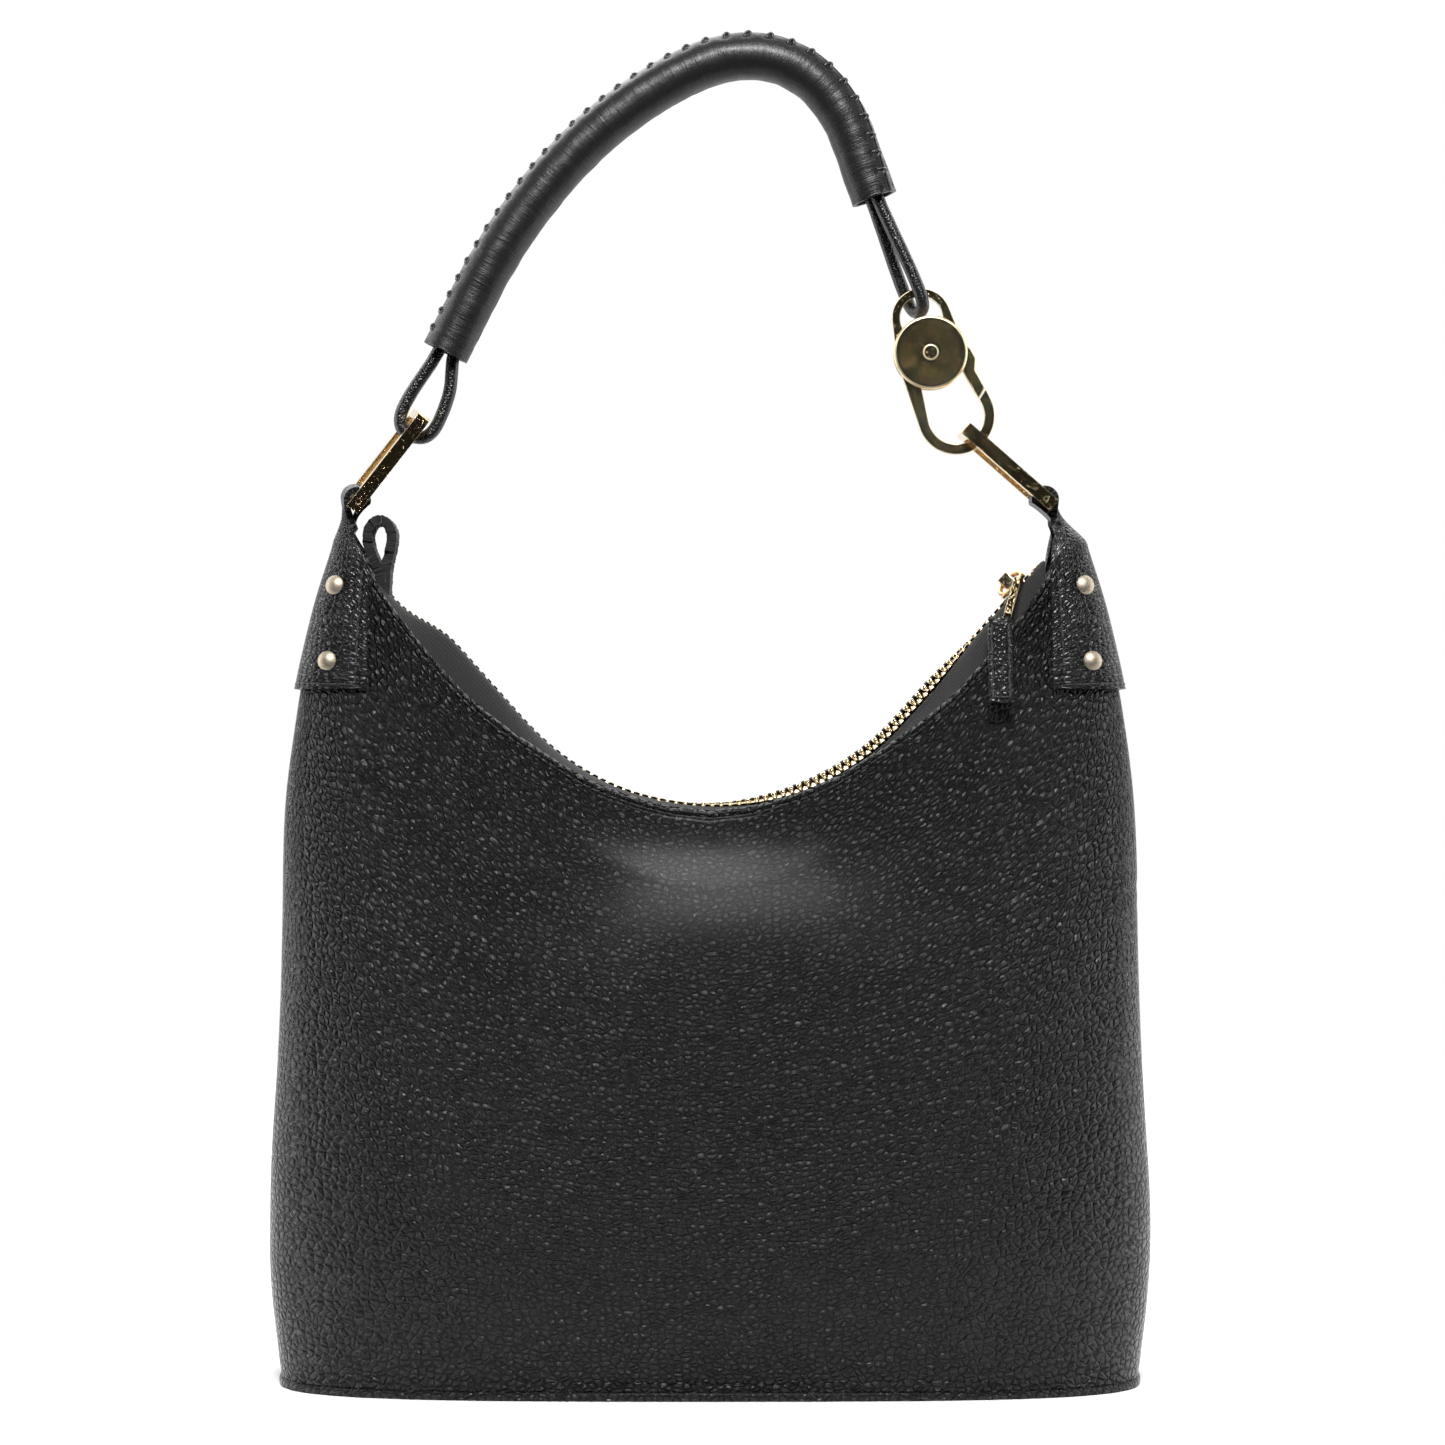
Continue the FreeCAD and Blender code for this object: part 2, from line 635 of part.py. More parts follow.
# ---- handle: the line between the two cord loops ----
eye_seat = clip_place.multVec(V(0, 0, eye_offset + eye_radius - eye_rim / 2))
left_end = bow_left + along(left_drop_angle) * left_drop
right_end = eye_seat + along(right_drop_angle) * right_drop


def bend_points(start, heading, length):
    """Ends, middles and headings of the handle's bends."""
    out = []
    at = start
    for share, turn in handle_bends:
        run = length * share
        if turn:
            radius = run / math.radians(turn)
            middle = at + along(heading - turn / 4) * (2 * radius * math.sin(math.radians(turn / 4)))
            end = at + along(heading - turn / 2) * (2 * radius * math.sin(math.radians(turn / 2)))
        else:
            middle = at + along(heading) * (run / 2)
            end = at + along(heading) * run
        out.append((at, middle, end, heading, turn))
        at, heading = end, heading - turn
    return out


unit = bend_points(V(0, 0, 0), 0.0, 1.0)[-1][2]
needed = right_end - left_end
handle_length = needed.Length / unit.Length
handle_heading = math.degrees(math.atan2(needed.z, needed.x) - math.atan2(unit.z, unit.x))
bends = bend_points(left_end, handle_heading, handle_length)


def handle_edges(first, last):
    edges = []
    for at, middle, end, heading, turn in bends[first:last]:
        edges.append(Part.Arc(at, middle, end).toShape() if turn else Part.LineSegment(at, end).toShape())
    return edges


whole = handle_edges(0, len(bends))
sleeve = tube(whole, sleeve_diameter).cut(tube(whole, sleeve_diameter - 2 * sleeve_wall))
parts["handle_sleeve"] = sleeve
parts["handle_core"] = tube(handle_edges(1, len(bends) - 1), core_diameter)


def handle_at(s):
    """Point of the handle's line and its heading, s from the left end."""
    for at, middle, end, heading, turn in bends:
        run = (end - at).Length
        if turn:
            run *= math.radians(turn / 2) / math.sin(math.radians(turn / 2))
        if s <= run:
            part = s / run
            angle = heading - turn * part / 2
            chord = run * part
            return at + along(angle) * chord, heading - turn * part
        s -= run
    return bends[-1][2], bends[-1][3]


lace_count = int((handle_length - 2 * lace_margin) / lace_pitch)
laces = []
for k in range(lace_count + 1):
    s = lace_margin + k * lace_pitch
    at, heading = handle_at(s)
    roll = 48.0 * max(0.0, (s / handle_length - 0.55) / 0.45)
    out = along(heading + 90) * math.cos(math.radians(roll)) + V(0, -math.sin(math.radians(roll)), 0)
    across = along(heading).cross(out)
    middle = at + out * (sleeve_diameter / 2 + lace_diameter / 2 + 0.05)
    laces.append(Part.makeCylinder(lace_diameter / 2, lace_reach, middle - across * (lace_reach / 2),
                                   across))
parts["handle_lacing"] = Part.makeCompound(laces)


def cord_loop(sleeve_end, inward, bight, radius, sideways):
    """Cord from inside the sleeve, round a bar at bight, and back. sideways is the strands' offset."""
    half = cord_spacing / 2
    down = bight - sleeve_end
    reach = down.Length
    down.normalize()
    lean = math.asin(radius / math.hypot(reach, half)) - math.atan2(half, reach)
    tips = []
    for hand in (-1, 1):
        side = sideways * hand
        mouth = sleeve_end + side * half
        inside = mouth + inward * cord_in_sleeve
        touch = bight + side * (radius * math.cos(lean)) - down * (radius * math.sin(lean))
        run = touch - mouth
        turn = math.radians(math.degrees((inward * -1).getAngle(run)))
        soft = min(0.42 * run.Length, strand_bend)
        run.normalize()
        first, second = mouth + inward * soft, mouth + run * soft
        bulge = soft * math.tan(turn / 4)
        inner = (first + second) * 0.5
        toward = mouth - inner
        if toward.Length > 1e-6:
            toward.normalize()
        tips.append((inside, first, inner + toward * bulge, second, touch))
    (a0, a1, a2, a3, a4), (b0, b1, b2, b3, b4) = tips
    path = [Part.LineSegment(a0, a1), Part.Arc(a1, a2, a3), Part.LineSegment(a3, a4),
            Part.Arc(a4, bight + down * radius, b4), Part.LineSegment(b4, b3),
            Part.Arc(b3, b2, b1), Part.LineSegment(b1, b0)]
    return tube([piece.toShape() for piece in path], cord_diameter)


left_in = along(bends[0][3])
right_in = along(bends[-1][3]) * -1
bow_diagonal = math.hypot(bar_width / 2, bar_thickness / 2)
eye_diagonal = math.hypot(eye_rim / 2, half_clip)
left_bight = bow_diagonal + cord_diameter / 2 + cord_bow_clearance
right_bight = eye_diagonal + cord_diameter / 2 + cord_bow_clearance
left_across = along(left_drop_angle + 90)
parts["cord_loop_left"] = cord_loop(left_end, left_in, bow_left, left_bight, left_across)
parts["cord_loop_right"] = cord_loop(right_end, right_in, eye_seat, right_bight, V(0, -1, 0))

# ---- write every piece, and print the points that the joints turn about ----
os.makedirs("parts", exist_ok=True)
for name, shape in parts.items():
    state = "ok" if shape.isValid() else "INVALID"
    print(name, state, len(shape.Solids), round(shape.Volume, 1))
    shape.exportStep("parts/" + name + ".step")
whole_bag = Part.makeCompound(list(parts.values()))
print("box", whole_bag.BoundBox)
swing_left = bow_left - along(left_drop_angle) * left_bight
swing_right = bow_right + along(hook_seat_angle) * (bow_half + hook_clearance + hook_rim / 2)
for label, point in (("swing_left", swing_left), ("swing_right", swing_right), ("eye_seat", eye_seat),
                     ("gate_pivot", clip_place.multVec(gate_pivot)), ("ring_pivot", ring_pivot),
                     ("ring_foot", ring_foot), ("slope_dir", along(slope)), ("left_end", left_end),
                     ("right_end", right_end), ("hook_centre", hook_centre), ("bow_right", bow_right)):
    print(label, [round(c, 3) for c in point])
print("handle_length", round(handle_length, 1), "heading", round(handle_heading, 1),
      "slope", round(slope, 2))
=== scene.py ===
import math
import bpy
from mathutils import Matrix, Vector, noise


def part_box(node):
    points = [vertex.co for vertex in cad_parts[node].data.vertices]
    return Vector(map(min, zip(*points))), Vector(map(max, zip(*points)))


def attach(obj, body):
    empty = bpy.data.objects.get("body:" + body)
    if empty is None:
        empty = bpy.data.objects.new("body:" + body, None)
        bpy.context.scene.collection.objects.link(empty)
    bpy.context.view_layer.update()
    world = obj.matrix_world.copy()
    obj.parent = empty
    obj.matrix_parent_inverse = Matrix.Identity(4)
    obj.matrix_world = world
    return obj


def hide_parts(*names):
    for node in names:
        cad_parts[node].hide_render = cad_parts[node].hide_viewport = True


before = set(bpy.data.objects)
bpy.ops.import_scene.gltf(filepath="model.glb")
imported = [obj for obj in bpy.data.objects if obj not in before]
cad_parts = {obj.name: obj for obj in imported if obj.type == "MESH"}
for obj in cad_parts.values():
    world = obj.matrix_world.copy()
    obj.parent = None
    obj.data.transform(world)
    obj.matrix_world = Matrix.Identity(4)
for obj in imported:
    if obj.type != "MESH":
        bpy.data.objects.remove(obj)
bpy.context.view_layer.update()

# ---- floor, lights and camera ----
# The bag stands on a pale seamless floor, with a soft light on each side and one overhead.
# The room behind it is white and the room in front of it is dim, which leaves dark glints in the gold.
scene = bpy.context.scene
scene.view_settings.view_transform = "Standard"
bpy.ops.object.select_all(action="DESELECT")
bpy.ops.mesh.primitive_plane_add(size=1.3, location=(0, 0.50, 0))
floor = bpy.context.object
floor.name = "floor"
paper = bpy.data.materials.new("backdrop_paper")
paper.use_nodes = True
paper.node_tree.nodes["Principled BSDF"].inputs["Base Color"].default_value = (0.94, 0.94, 0.94, 1)
paper.node_tree.nodes["Principled BSDF"].inputs["Roughness"].default_value = 0.9
floor.data.materials.append(paper)

world = bpy.data.worlds.new("studio")
scene.world = world
world.use_nodes = True
sky = world.node_tree
heading = sky.nodes.new("ShaderNodeTexCoord")
split = sky.nodes.new("ShaderNodeSeparateXYZ")
fade = sky.nodes.new("ShaderNodeMapRange")
fade.inputs["From Min"].default_value = 0.15
fade.inputs["From Max"].default_value = 0.75
fade.inputs["To Min"].default_value = 0.015
fade.inputs["To Max"].default_value = 1.0
seen = sky.nodes.new("ShaderNodeLightPath")
either = sky.nodes.new("ShaderNodeMath")
either.operation = "MAXIMUM"
sky.links.new(heading.outputs["Generated"], split.inputs[0])
sky.links.new(split.outputs["Y"], fade.inputs["Value"])
sky.links.new(fade.outputs[0], either.inputs[0])
sky.links.new(seen.outputs["Is Camera Ray"], either.inputs[1])
sky.links.new(either.outputs[0], sky.nodes["Background"].inputs["Strength"])
sky.nodes["Background"].inputs["Color"].default_value = (1, 1, 1, 1)

for name, place, size, power in (("left_light", (-1.15, 0.15, 0.40), (0.7, 1.2), 9),
                                 ("right_light", (1.15, 0.15, 0.40), (0.7, 1.2), 8),
                                 ("top_light", (0.03, -0.85, 1.10), (0.34, 0.28), 24),
                                 ("floor_light", (0, 0.9, 1.3), (2.4, 1.0), 27)):
    bpy.ops.object.light_add(type="AREA", location=place)
    lamp = bpy.context.object
    lamp.name = name
    lamp.data.shape = "RECTANGLE"
    lamp.data.size, lamp.data.size_y = size
    lamp.data.energy = power
    lamp.rotation_euler = (Vector((0, 0, 0.19)) - Vector(place)).to_track_quat("-Z", "Y").to_euler()

bpy.ops.object.camera_add(location=(0.004, -1.2, 0.2093), rotation=(math.pi / 2, 0, 0))
scene.camera = bpy.context.object
scene.camera.data.lens = 93.4
scene.camera.data.sensor_width = 36

# ---- front and back panels ----
# Each is one cut of pebbled black leather, joined to the other at the side seams and to the base below.
# The leather stands soft, so it bellies low down, dents here and there and folds under the ears.
body_half_width = 0.140
base_half_width = 0.136
ear_half_width = 0.1185
base_half_depth = 0.045
belly_half_depth = 0.048
mouth_half_depth = 0.013
mouth_height = 0.1815
ear_height = 0.266
corner_power = 3.5
leather = 0.0018
base_top = 0.003
rim_line = [(-0.244, 0.089), (0.0, 0.0), (0.244, 0.089), (0.427, 0.252), (0.563, 0.402),
            (0.684, 0.574), (0.823, 0.787), (0.935, 0.953), (1.0, 1.0)]
side_line = [(0.0, base_half_width), (0.17, body_half_width), (0.45, body_half_width - 0.0036),
             (0.68, body_half_width - 0.0046), (0.81, body_half_width - 0.0087),
             (0.92, body_half_width - 0.015), (1.0, ear_half_width)]
depth_line = [(0.0, base_half_depth), (0.25, belly_half_depth), (0.5, belly_half_depth - 0.006),
              (0.75, 0.5 * (belly_half_depth + mouth_half_depth) - 0.0045), (1.0, mouth_half_depth)]
# Soft folds and dents: x, z, lie in degrees, half length, half width, height out of the panel, in mm.
front_folds = [(-112, 200, -52, 24, 7, 0.9), (-101, 190, -48, 24, 6, -0.9), (-84, 176, -36, 26, 7, 0.7),
               (113, 201, 232, 24, 7, 0.9), (102, 190, 226, 24, 6, -0.9), (88, 178, 216, 26, 7, 0.6),
               (133, 157, -8, 9, 1.1, -0.6), (131, 153, -14, 8, 1.0, -0.4), (128, 160, 12, 7, 1.2, 0.4),
               (-58, 118, 74, 34, 20, -1.3), (36, 96, 14, 46, 26, -0.9), (92, 60, 60, 34, 20, 0.8),
               (-106, 66, 84, 34, 14, 0.8), (-20, 34, 6, 60, 12, -0.6), (118, 118, 80, 30, 8, -0.8)]
back_folds = [(-110, 198, -50, 24, 7, 0.8), (-98, 188, -46, 22, 6, -0.9), (112, 200, 230, 24, 7, 0.9),
              (100, 188, 224, 22, 6, -0.8), (48, 122, 68, 36, 20, -1.2), (-44, 92, 20, 44, 26, -0.9),
              (-96, 58, 70, 34, 18, 0.8), (104, 64, 96, 30, 14, 0.7), (8, 36, 0, 60, 12, -0.6),
              (-128, 150, 8, 9, 1.2, -0.5)]


def smooth(stations, t):
    """Value at t of a soft curve through (t, value) stations."""
    last = len(stations) - 1
    k = 0
    while k < last - 1 and t > stations[k + 1][0]:
        k += 1

    def slope(i):
        a, b = stations[max(i - 1, 0)], stations[min(i + 1, last)]
        return (b[1] - a[1]) / (b[0] - a[0])
    (t0, a), (t1, b) = stations[k], stations[k + 1]
    width = t1 - t0
    u = (t - t0) / width
    p, q = slope(k) * width, slope(k + 1) * width
    return a + u * (p + u * (3 * (b - a) - 2 * p - q + u * (2 * (a - b) + p + q)))


def rim_height(share):
    return mouth_height + (ear_height - mouth_height) * smooth(rim_line, abs(share))


def half_width(z):
    return smooth(side_line, z / ear_height)


def share_at(c):
    """Share of the half width for c from -1 to 1, closer together near the side seams."""
    return math.copysign(abs(c) ** (2 / corner_power), c)


def slump(x, z, side):
    """How far the soft leather stands out of its cut shape."""
    out = 0.0
    for fx, fz, lie, length, width, rise in front_folds if side < 0 else back_folds:
        dx, dz = x * 1000 - fx, z * 1000 - fz
        c, s = math.cos(math.radians(lie)), math.sin(math.radians(lie))
        u, w = (dx * c + dz * s) / length, (dz * c - dx * s) / width
        if u * u + w * w < 9:
            out += rise * math.exp(-u * u - w * w)
    out += 0.5 * noise.noise(Vector((x * 22, side * 3.1, z * 30)))
    out += 5.0 * math.exp(-((x - 0.004) / 0.075) ** 2 - ((z - 0.132) / 0.034) ** 2)
    calm = min(1.0, max(0.0, (z - 0.008) / 0.02)) * min(1.0, max(0.0, (0.252 - z) / 0.03))
    return out * calm * 0.001


def bag_point(share, z, side, offset=0.0):
    """Point of the bag's skin at a share of the half width and a height."""
    up = (z - base_top) / (rim_height(share) - base_top)
    width, depth = half_width(z), smooth(depth_line, min(1.0, up))
    fill = max(0.0, 1.0 - abs(share) ** corner_power) ** (1.0 / corner_power)
    x, y = width * share, side * depth * fill
    gx = math.copysign(abs(share) ** (corner_power - 1) / width, share)
    gy = side * fill ** (corner_power - 1) / depth
    size = math.hypot(gx, gy)
    rim_calm = min(1.0, max(0.0, (rim_height(share) - z) / 0.022))
    offset += slump(x, z, side) * rim_calm * min(1.0, fill * 2.5)
    return Vector((x + offset * gx / size, y + offset * gy / size, z))


def only(*pieces):
    """Selects these pieces and no others."""
    bpy.ops.object.select_all(action="DESELECT")
    for piece in pieces:
        piece.select_set(True)
    bpy.context.view_layer.objects.active = pieces[0]


def patch(name, columns, rows, corner, closed=False):
    """Sheet of columns by rows faces. corner(i, j) gives each corner's place and its UV in metres."""
    bpy.ops.object.select_all(action="DESELECT")
    bpy.ops.mesh.primitive_grid_add(x_subdivisions=columns, y_subdivisions=rows, size=2)
    piece = bpy.context.object
    piece.name = piece.data.name = name
    marks = {}
    for v in piece.data.vertices:
        i, j = round((v.co.x + 1) / 2 * columns), round((v.co.y + 1) / 2 * rows)
        v.co, marks[v.index] = corner(i, j)
    uv = piece.data.uv_layers.active.data
    for loop in piece.data.loops:
        uv[loop.index].uv = marks[loop.vertex_index]
    if closed:
        bpy.ops.object.mode_set(mode="EDIT")
        bpy.ops.mesh.select_all(action="SELECT")
        bpy.ops.mesh.remove_doubles(threshold=1e-6)
        bpy.ops.object.mode_set(mode="OBJECT")
    return piece


def edit(piece, *steps):
    """Runs edit mode steps on all of a piece."""
    only(piece)
    bpy.ops.object.mode_set(mode="EDIT")
    bpy.ops.mesh.select_all(action="SELECT")
    for step in steps:
        step()
    bpy.ops.object.mode_set(mode="OBJECT")


def modify(piece, kind, **settings):
    """Adds a modifier and applies it."""
    only(piece)
    made = piece.modifiers.new("step", kind)
    for name, value in settings.items():
        setattr(made, name, value)
    bpy.ops.object.modifier_apply(modifier=made.name)


def wall(piece, thickness, edge, turn=False, angle=35, even=True):
    """Gives a sheet its thickness, inward from its outer face, and softens its cut edges."""
    if turn:
        edit(piece, bpy.ops.mesh.flip_normals)
    modify(piece, "SOLIDIFY", thickness=thickness, offset=-1, use_even_offset=even)
    modify(piece, "BEVEL", width=edge, segments=2, limit_method="ANGLE", angle_limit=math.radians(50))
    bpy.ops.object.shade_smooth_by_angle(angle=math.radians(angle))


class Wire:
    """One output in a material's nodes. Sums are written on it as on a number."""

    def __init__(self, tree, end=None):
        self.tree, self.end = tree, end

    def node(self, kind, settings, inputs, out=0):
        made = self.tree.nodes.new("ShaderNode" + kind)
        for name, value in settings.items():
            setattr(made, name, value)
        for name, value in inputs.items():
            if isinstance(value, Wire):
                self.tree.links.new(value.end, made.inputs[name])
            else:
                made.inputs[name].default_value = value
        return Wire(self.tree, made.outputs[out])

    def sum(self, operation, a, b=0.0):
        return self.node("Math", {"operation": operation}, {0: a, 1: b})

    def __add__(self, other):
        return self.sum("ADD", self, other)

    def __radd__(self, other):
        return self.sum("ADD", other, self)

    def __sub__(self, other):
        return self.sum("SUBTRACT", self, other)

    def __rsub__(self, other):
        return self.sum("SUBTRACT", other, self)

    def __mul__(self, other):
        return self.sum("MULTIPLY", self, other)

    def __rmul__(self, other):
        return self.sum("MULTIPLY", other, self)

    def between(self, low, high):
        """0 at low, 1 at high, soft at both ends."""
        return self.node("MapRange", {"interpolation_type": "SMOOTHSTEP"},
                         {"Value": self, "From Min": low, "From Max": high})

    def tint(self, first, second):
        """Colour that goes from first to second as this goes from 0 to 1."""
        return self.node("Mix", {"data_type": "RGBA"}, {0: self, 6: (*first, 1), 7: (*second, 1)}, 2)


def finish(name, build, **fixed):
    """Material whose unvarying sockets are fixed, and whose others come from build(wire)."""
    made = bpy.data.materials.new(name)
    made.use_nodes = True
    shader = made.node_tree.nodes["Principled BSDF"]
    for socket, value in fixed.items():
        shader.inputs[socket.replace("_", " ")].default_value = value
    for socket, value in build(Wire(made.node_tree)).items():
        made.node_tree.links.new(value.end, shader.inputs[socket])
    return made


def hide_grain(wire, cell, depth, lie=(1.0, 1.0), tone=0.006, gloss=0.23):
    """Pebbled leather: small domes parted by creases, which are painted dark as painted shade, with finer
    wrinkles and a soft change of tone.
    """
    uv = wire.node("TexCoord", {}, {}, "UV")
    bend = wire.node("TexNoise", {}, {"Vector": uv, "Scale": 210.0, "Detail": 2.0}, "Color")
    bent = wire.node("Mix", {"data_type": "VECTOR", "blend_type": "MIX"}, {0: 0.0011, 4: uv, 5: bend}, 1)
    grid = wire.node("Mapping", {}, {"Vector": bent, "Scale": (lie[0], lie[1], 1.0)})
    edge = wire.node("TexVoronoi", {"feature": "DISTANCE_TO_EDGE", "voronoi_dimensions": "2D"},
                     {"Vector": grid, "Scale": 1 / cell}, "Distance")
    heart = wire.node("TexVoronoi", {"feature": "F1", "voronoi_dimensions": "2D"},
                      {"Vector": grid, "Scale": 1 / cell}, "Distance")
    fine = wire.node("TexNoise", {}, {"Vector": grid, "Scale": 1500.0, "Detail": 3.0}, 0)
    broad = wire.node("TexNoise", {}, {"Vector": uv, "Scale": 26.0, "Detail": 2.0}, 0)
    patchy = wire.node("TexNoise", {}, {"Vector": uv, "Scale": 90.0, "Detail": 2.0}, 0)
    dome = edge.between(0.0, 0.26) * 0.60 + (1 - heart) * 0.50
    height = dome * (0.35 + patchy * 1.0) + fine * 0.34
    crease = 1 - edge.between(0.03, 0.24)
    rough = gloss + crease * 0.12 + (broad - 0.5) * 0.16 + (fine - 0.5) * 0.10
    # Colour: the creases are painted dark, a painted shade in the hollows between the domes; the broad noise
    # is a random change of tone.
    grain_colour_with_crease_shade = (crease * 0.85 + (0.5 - broad) * 0.4).tint((tone * 1.3, tone * 1.3, tone * 1.34),
                                                          (tone * 0.08, tone * 0.08, tone * 0.08))
    bump = wire.node("Bump", {}, {"Strength": 1.0, "Distance": depth, "Height": height}, "Normal")
    return {"Base Color": grain_colour_with_crease_shade, "Roughness": rough, "Normal": bump}


grained_leather = finish("grained_leather", lambda wire: hide_grain(wire, 0.0019, 0.0013, (0.74, 1.0)),
                         Specular_IOR_Level=0.28, Coat_Weight=0.04, Coat_Roughness=0.2)


def fit(piece, material, body, slot, *nodes):
    """Dresses a finished piece and hangs it on its body in place of the plain shapes it stands for."""
    piece.data.materials.clear()
    piece.data.materials.append(material)
    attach(piece, body)
    if nodes:
        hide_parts(*nodes)


top_rows = [0.0, 0.0004, 0.0009, 0.0013, 0.0017, 0.0021, 0.0025, 0.0029, 0.0034, 0.004, 0.005, 0.0065]
low_rows = 96
columns = 190


def edge_work(below_rim, above_base, to_seam):
    """How far the turned and stitched edges stand out of the panel."""
    out = 0.00028 * math.exp(-((below_rim - 0.0012) / 0.0009) ** 2)
    out -= 0.0004 * math.exp(-(below_rim / 0.00045) ** 2)
    out -= 0.0004 * math.exp(-((below_rim - 0.0026) / 0.00045) ** 2)
    out -= 0.0005 * math.exp(-((above_base - 0.0022) / 0.0008) ** 2)
    out -= 0.0007 * math.exp(-(to_seam / 0.0009) ** 2)
    return out


# Distance across the panel to each column, from its middle.
cut = [bag_point(share_at(-math.cos(math.pi * i / columns)), 0.1, -1) for i in range(columns + 1)]
girth = [0.0]
for a, b in zip(cut, cut[1:]):
    girth.append(girth[-1] + (b - a).length)
girth = [g - girth[-1] / 2 for g in girth]


def panel_corner(side):
    def corner(i, j):
        share = share_at(-math.cos(math.pi * i / columns))
        rim = rim_height(share)
        if j <= low_rows:
            v = j / low_rows
            z = base_top + (rim - top_rows[-1] - base_top) * (v ** 1.12)
        else:
            z = rim - top_rows[-1 - (j - low_rows)]
        seam = bag_point(math.copysign(1, share), z, side)
        at = bag_point(share, z, side)
        work = edge_work(rim - z, z - base_top, (at - seam).length)
        at = bag_point(share, z, side, work)
        return at, (girth[i], 0.22 * (z - base_top) / (rim - base_top))
    return corner


for name, side in (("front", -1), ("back", 1)):
    panel = patch(name + "_panel_leather", columns, low_rows + len(top_rows) - 1, panel_corner(side))
    wall(panel, leather, 0.00035, turn=side > 0)
    fit(panel, grained_leather, "bag", "grained_leather", name + "_panel")

# ---- stitches round the rim ----
# Bonded black thread, sewn 2.6 mm under the turned edge of the mouth, in stitches of about 3 mm.
# Each stitch dips into the leather at both ends, where its holes are.
def thread_look(wire):
    at = wire.node("TexCoord", {}, {}, "Object")
    ply = wire.node("TexWave", {"bands_direction": "DIAGONAL"},
                    {"Vector": at, "Scale": 900.0, "Distortion": 1.0}, 1)
    fuzz = wire.node("TexNoise", {}, {"Vector": at, "Scale": 2600.0}, 0)
    bump = wire.node("Bump", {}, {"Distance": 0.00008, "Height": ply * 0.8 + fuzz * 0.4}, "Normal")
    return {"Base Color": fuzz.tint((0.006, 0.006, 0.006), (0.022, 0.021, 0.022)),
            "Roughness": 0.42 + ply * 0.2, "Normal": bump}


thread = finish("thread", thread_look, Sheen_Weight=0.15)
bpy.ops.object.select_all(action="DESELECT")
bpy.ops.mesh.primitive_cylinder_add(vertices=8, radius=0.00033, depth=0.0019, rotation=(0, math.pi / 2, 0))
stitch = bpy.context.object
bpy.ops.object.transform_apply(rotation=True)
for tip in (-1, 1):
    bpy.ops.object.mode_set(mode="EDIT")
    bpy.ops.mesh.select_all(action="DESELECT")
    bpy.ops.object.mode_set(mode="OBJECT")
    for face in stitch.data.polygons:
        face.select = face.normal.x * tip > 0.9
    bpy.ops.object.mode_set(mode="EDIT")
    for move, size in (((tip * 0.00025, 0, -0.00012), 0.85), ((tip * 0.00015, 0, -0.00022), 0.6)):
        bpy.ops.mesh.extrude_region_move(TRANSFORM_OT_translate={"value": move})
        bpy.ops.transform.resize(value=(1, size, size))
    bpy.ops.object.mode_set(mode="OBJECT")


def copies(name, model, places):
    """One piece made of a copy of the model at every place."""
    made = []
    for place in places:
        one = bpy.data.objects.new(name, model.data.copy())
        one.data.transform(place)
        scene.collection.objects.link(one)
        made.append(one)
    only(*made)
    bpy.ops.object.join()
    made[0].name = made[0].data.name = name
    bpy.ops.object.shade_smooth_by_angle(angle=math.radians(50))
    return made[0]


def frame_at(at, ahead, out):
    """Places a model with its X ahead and its Z out of the surface."""
    ahead, out = ahead.normalized(), out.normalized()
    side = out.cross(ahead).normalized()
    out = ahead.cross(side)
    turn = Matrix((ahead, side, out)).transposed().to_4x4()
    turn.translation = at
    return turn


def seam(line, outs, step=0.0031, lift=0.00006):
    """Places for stitches one step apart along a line of points."""
    places, run, wanted = [], 0.0, step / 2
    for k in range(len(line) - 1):
        gap = line[k + 1] - line[k]
        while gap.length > 0 and wanted < run + gap.length:
            t = (wanted - run) / gap.length
            out = outs[k].lerp(outs[k + 1], t).normalized()
            places.append(frame_at(line[k] + gap * t + out * lift, gap, out))
            wanted += step
        run += gap.length
    return places


def skin_out(share, z, side):
    """Direction out of the bag's skin."""
    across = bag_point(share + 0.004, z, side) - bag_point(share - 0.004, z, side)
    up = bag_point(share, z, side) - bag_point(share, z - 0.002, side)
    out = across.cross(up)
    return out * -1 if out.y * side < 0 else out


for name, side in (("front", -1), ("back", 1)):
    line, outs = [], []
    for k in range(401):
        share = share_at(-0.86 + 1.72 * k / 400)
        z = rim_height(share) - 0.0026
        out = skin_out(share, z, side).normalized()
        line.append(bag_point(share, z, side, -0.00022))
        outs.append(out)
    rim_stitches = copies(name + "_rim_stitches", stitch, seam(line, outs))
    fit(rim_stitches, thread, "bag", "thread")

# ---- base ----
# A plate of the same leather wrapped round a stiff board, with a rounded edge that stands just
# proud of the panels. It is sewn to them from inside, so only the seam's valley shows.
base_edge = 0.0008
bpy.ops.object.select_all(action="DESELECT")
bpy.ops.mesh.primitive_cylinder_add(vertices=160, radius=1, depth=base_top, location=(0, 0, base_top / 2))
base = bpy.context.object
base.name = base.data.name = "base_leather"
bpy.ops.object.transform_apply(location=True)
for v in base.data.vertices:
    around = math.atan2(v.co.y, v.co.x)
    share = share_at(math.cos(around))
    fill = max(0.0, 1.0 - abs(share) ** corner_power) ** (1.0 / corner_power)
    v.co.x, v.co.y = base_half_width * share, math.copysign(base_half_depth * fill, v.co.y)
edit(base, lambda: bpy.ops.mesh.select_all(action="DESELECT"))
for face in base.data.polygons:
    face.select = abs(face.normal.z) > 0.9
only(base)
bpy.ops.object.mode_set(mode="EDIT")
for inset in (0.0015, 0.004, 0.012, 0.014):
    bpy.ops.mesh.inset(thickness=inset)
bpy.ops.object.mode_set(mode="OBJECT")
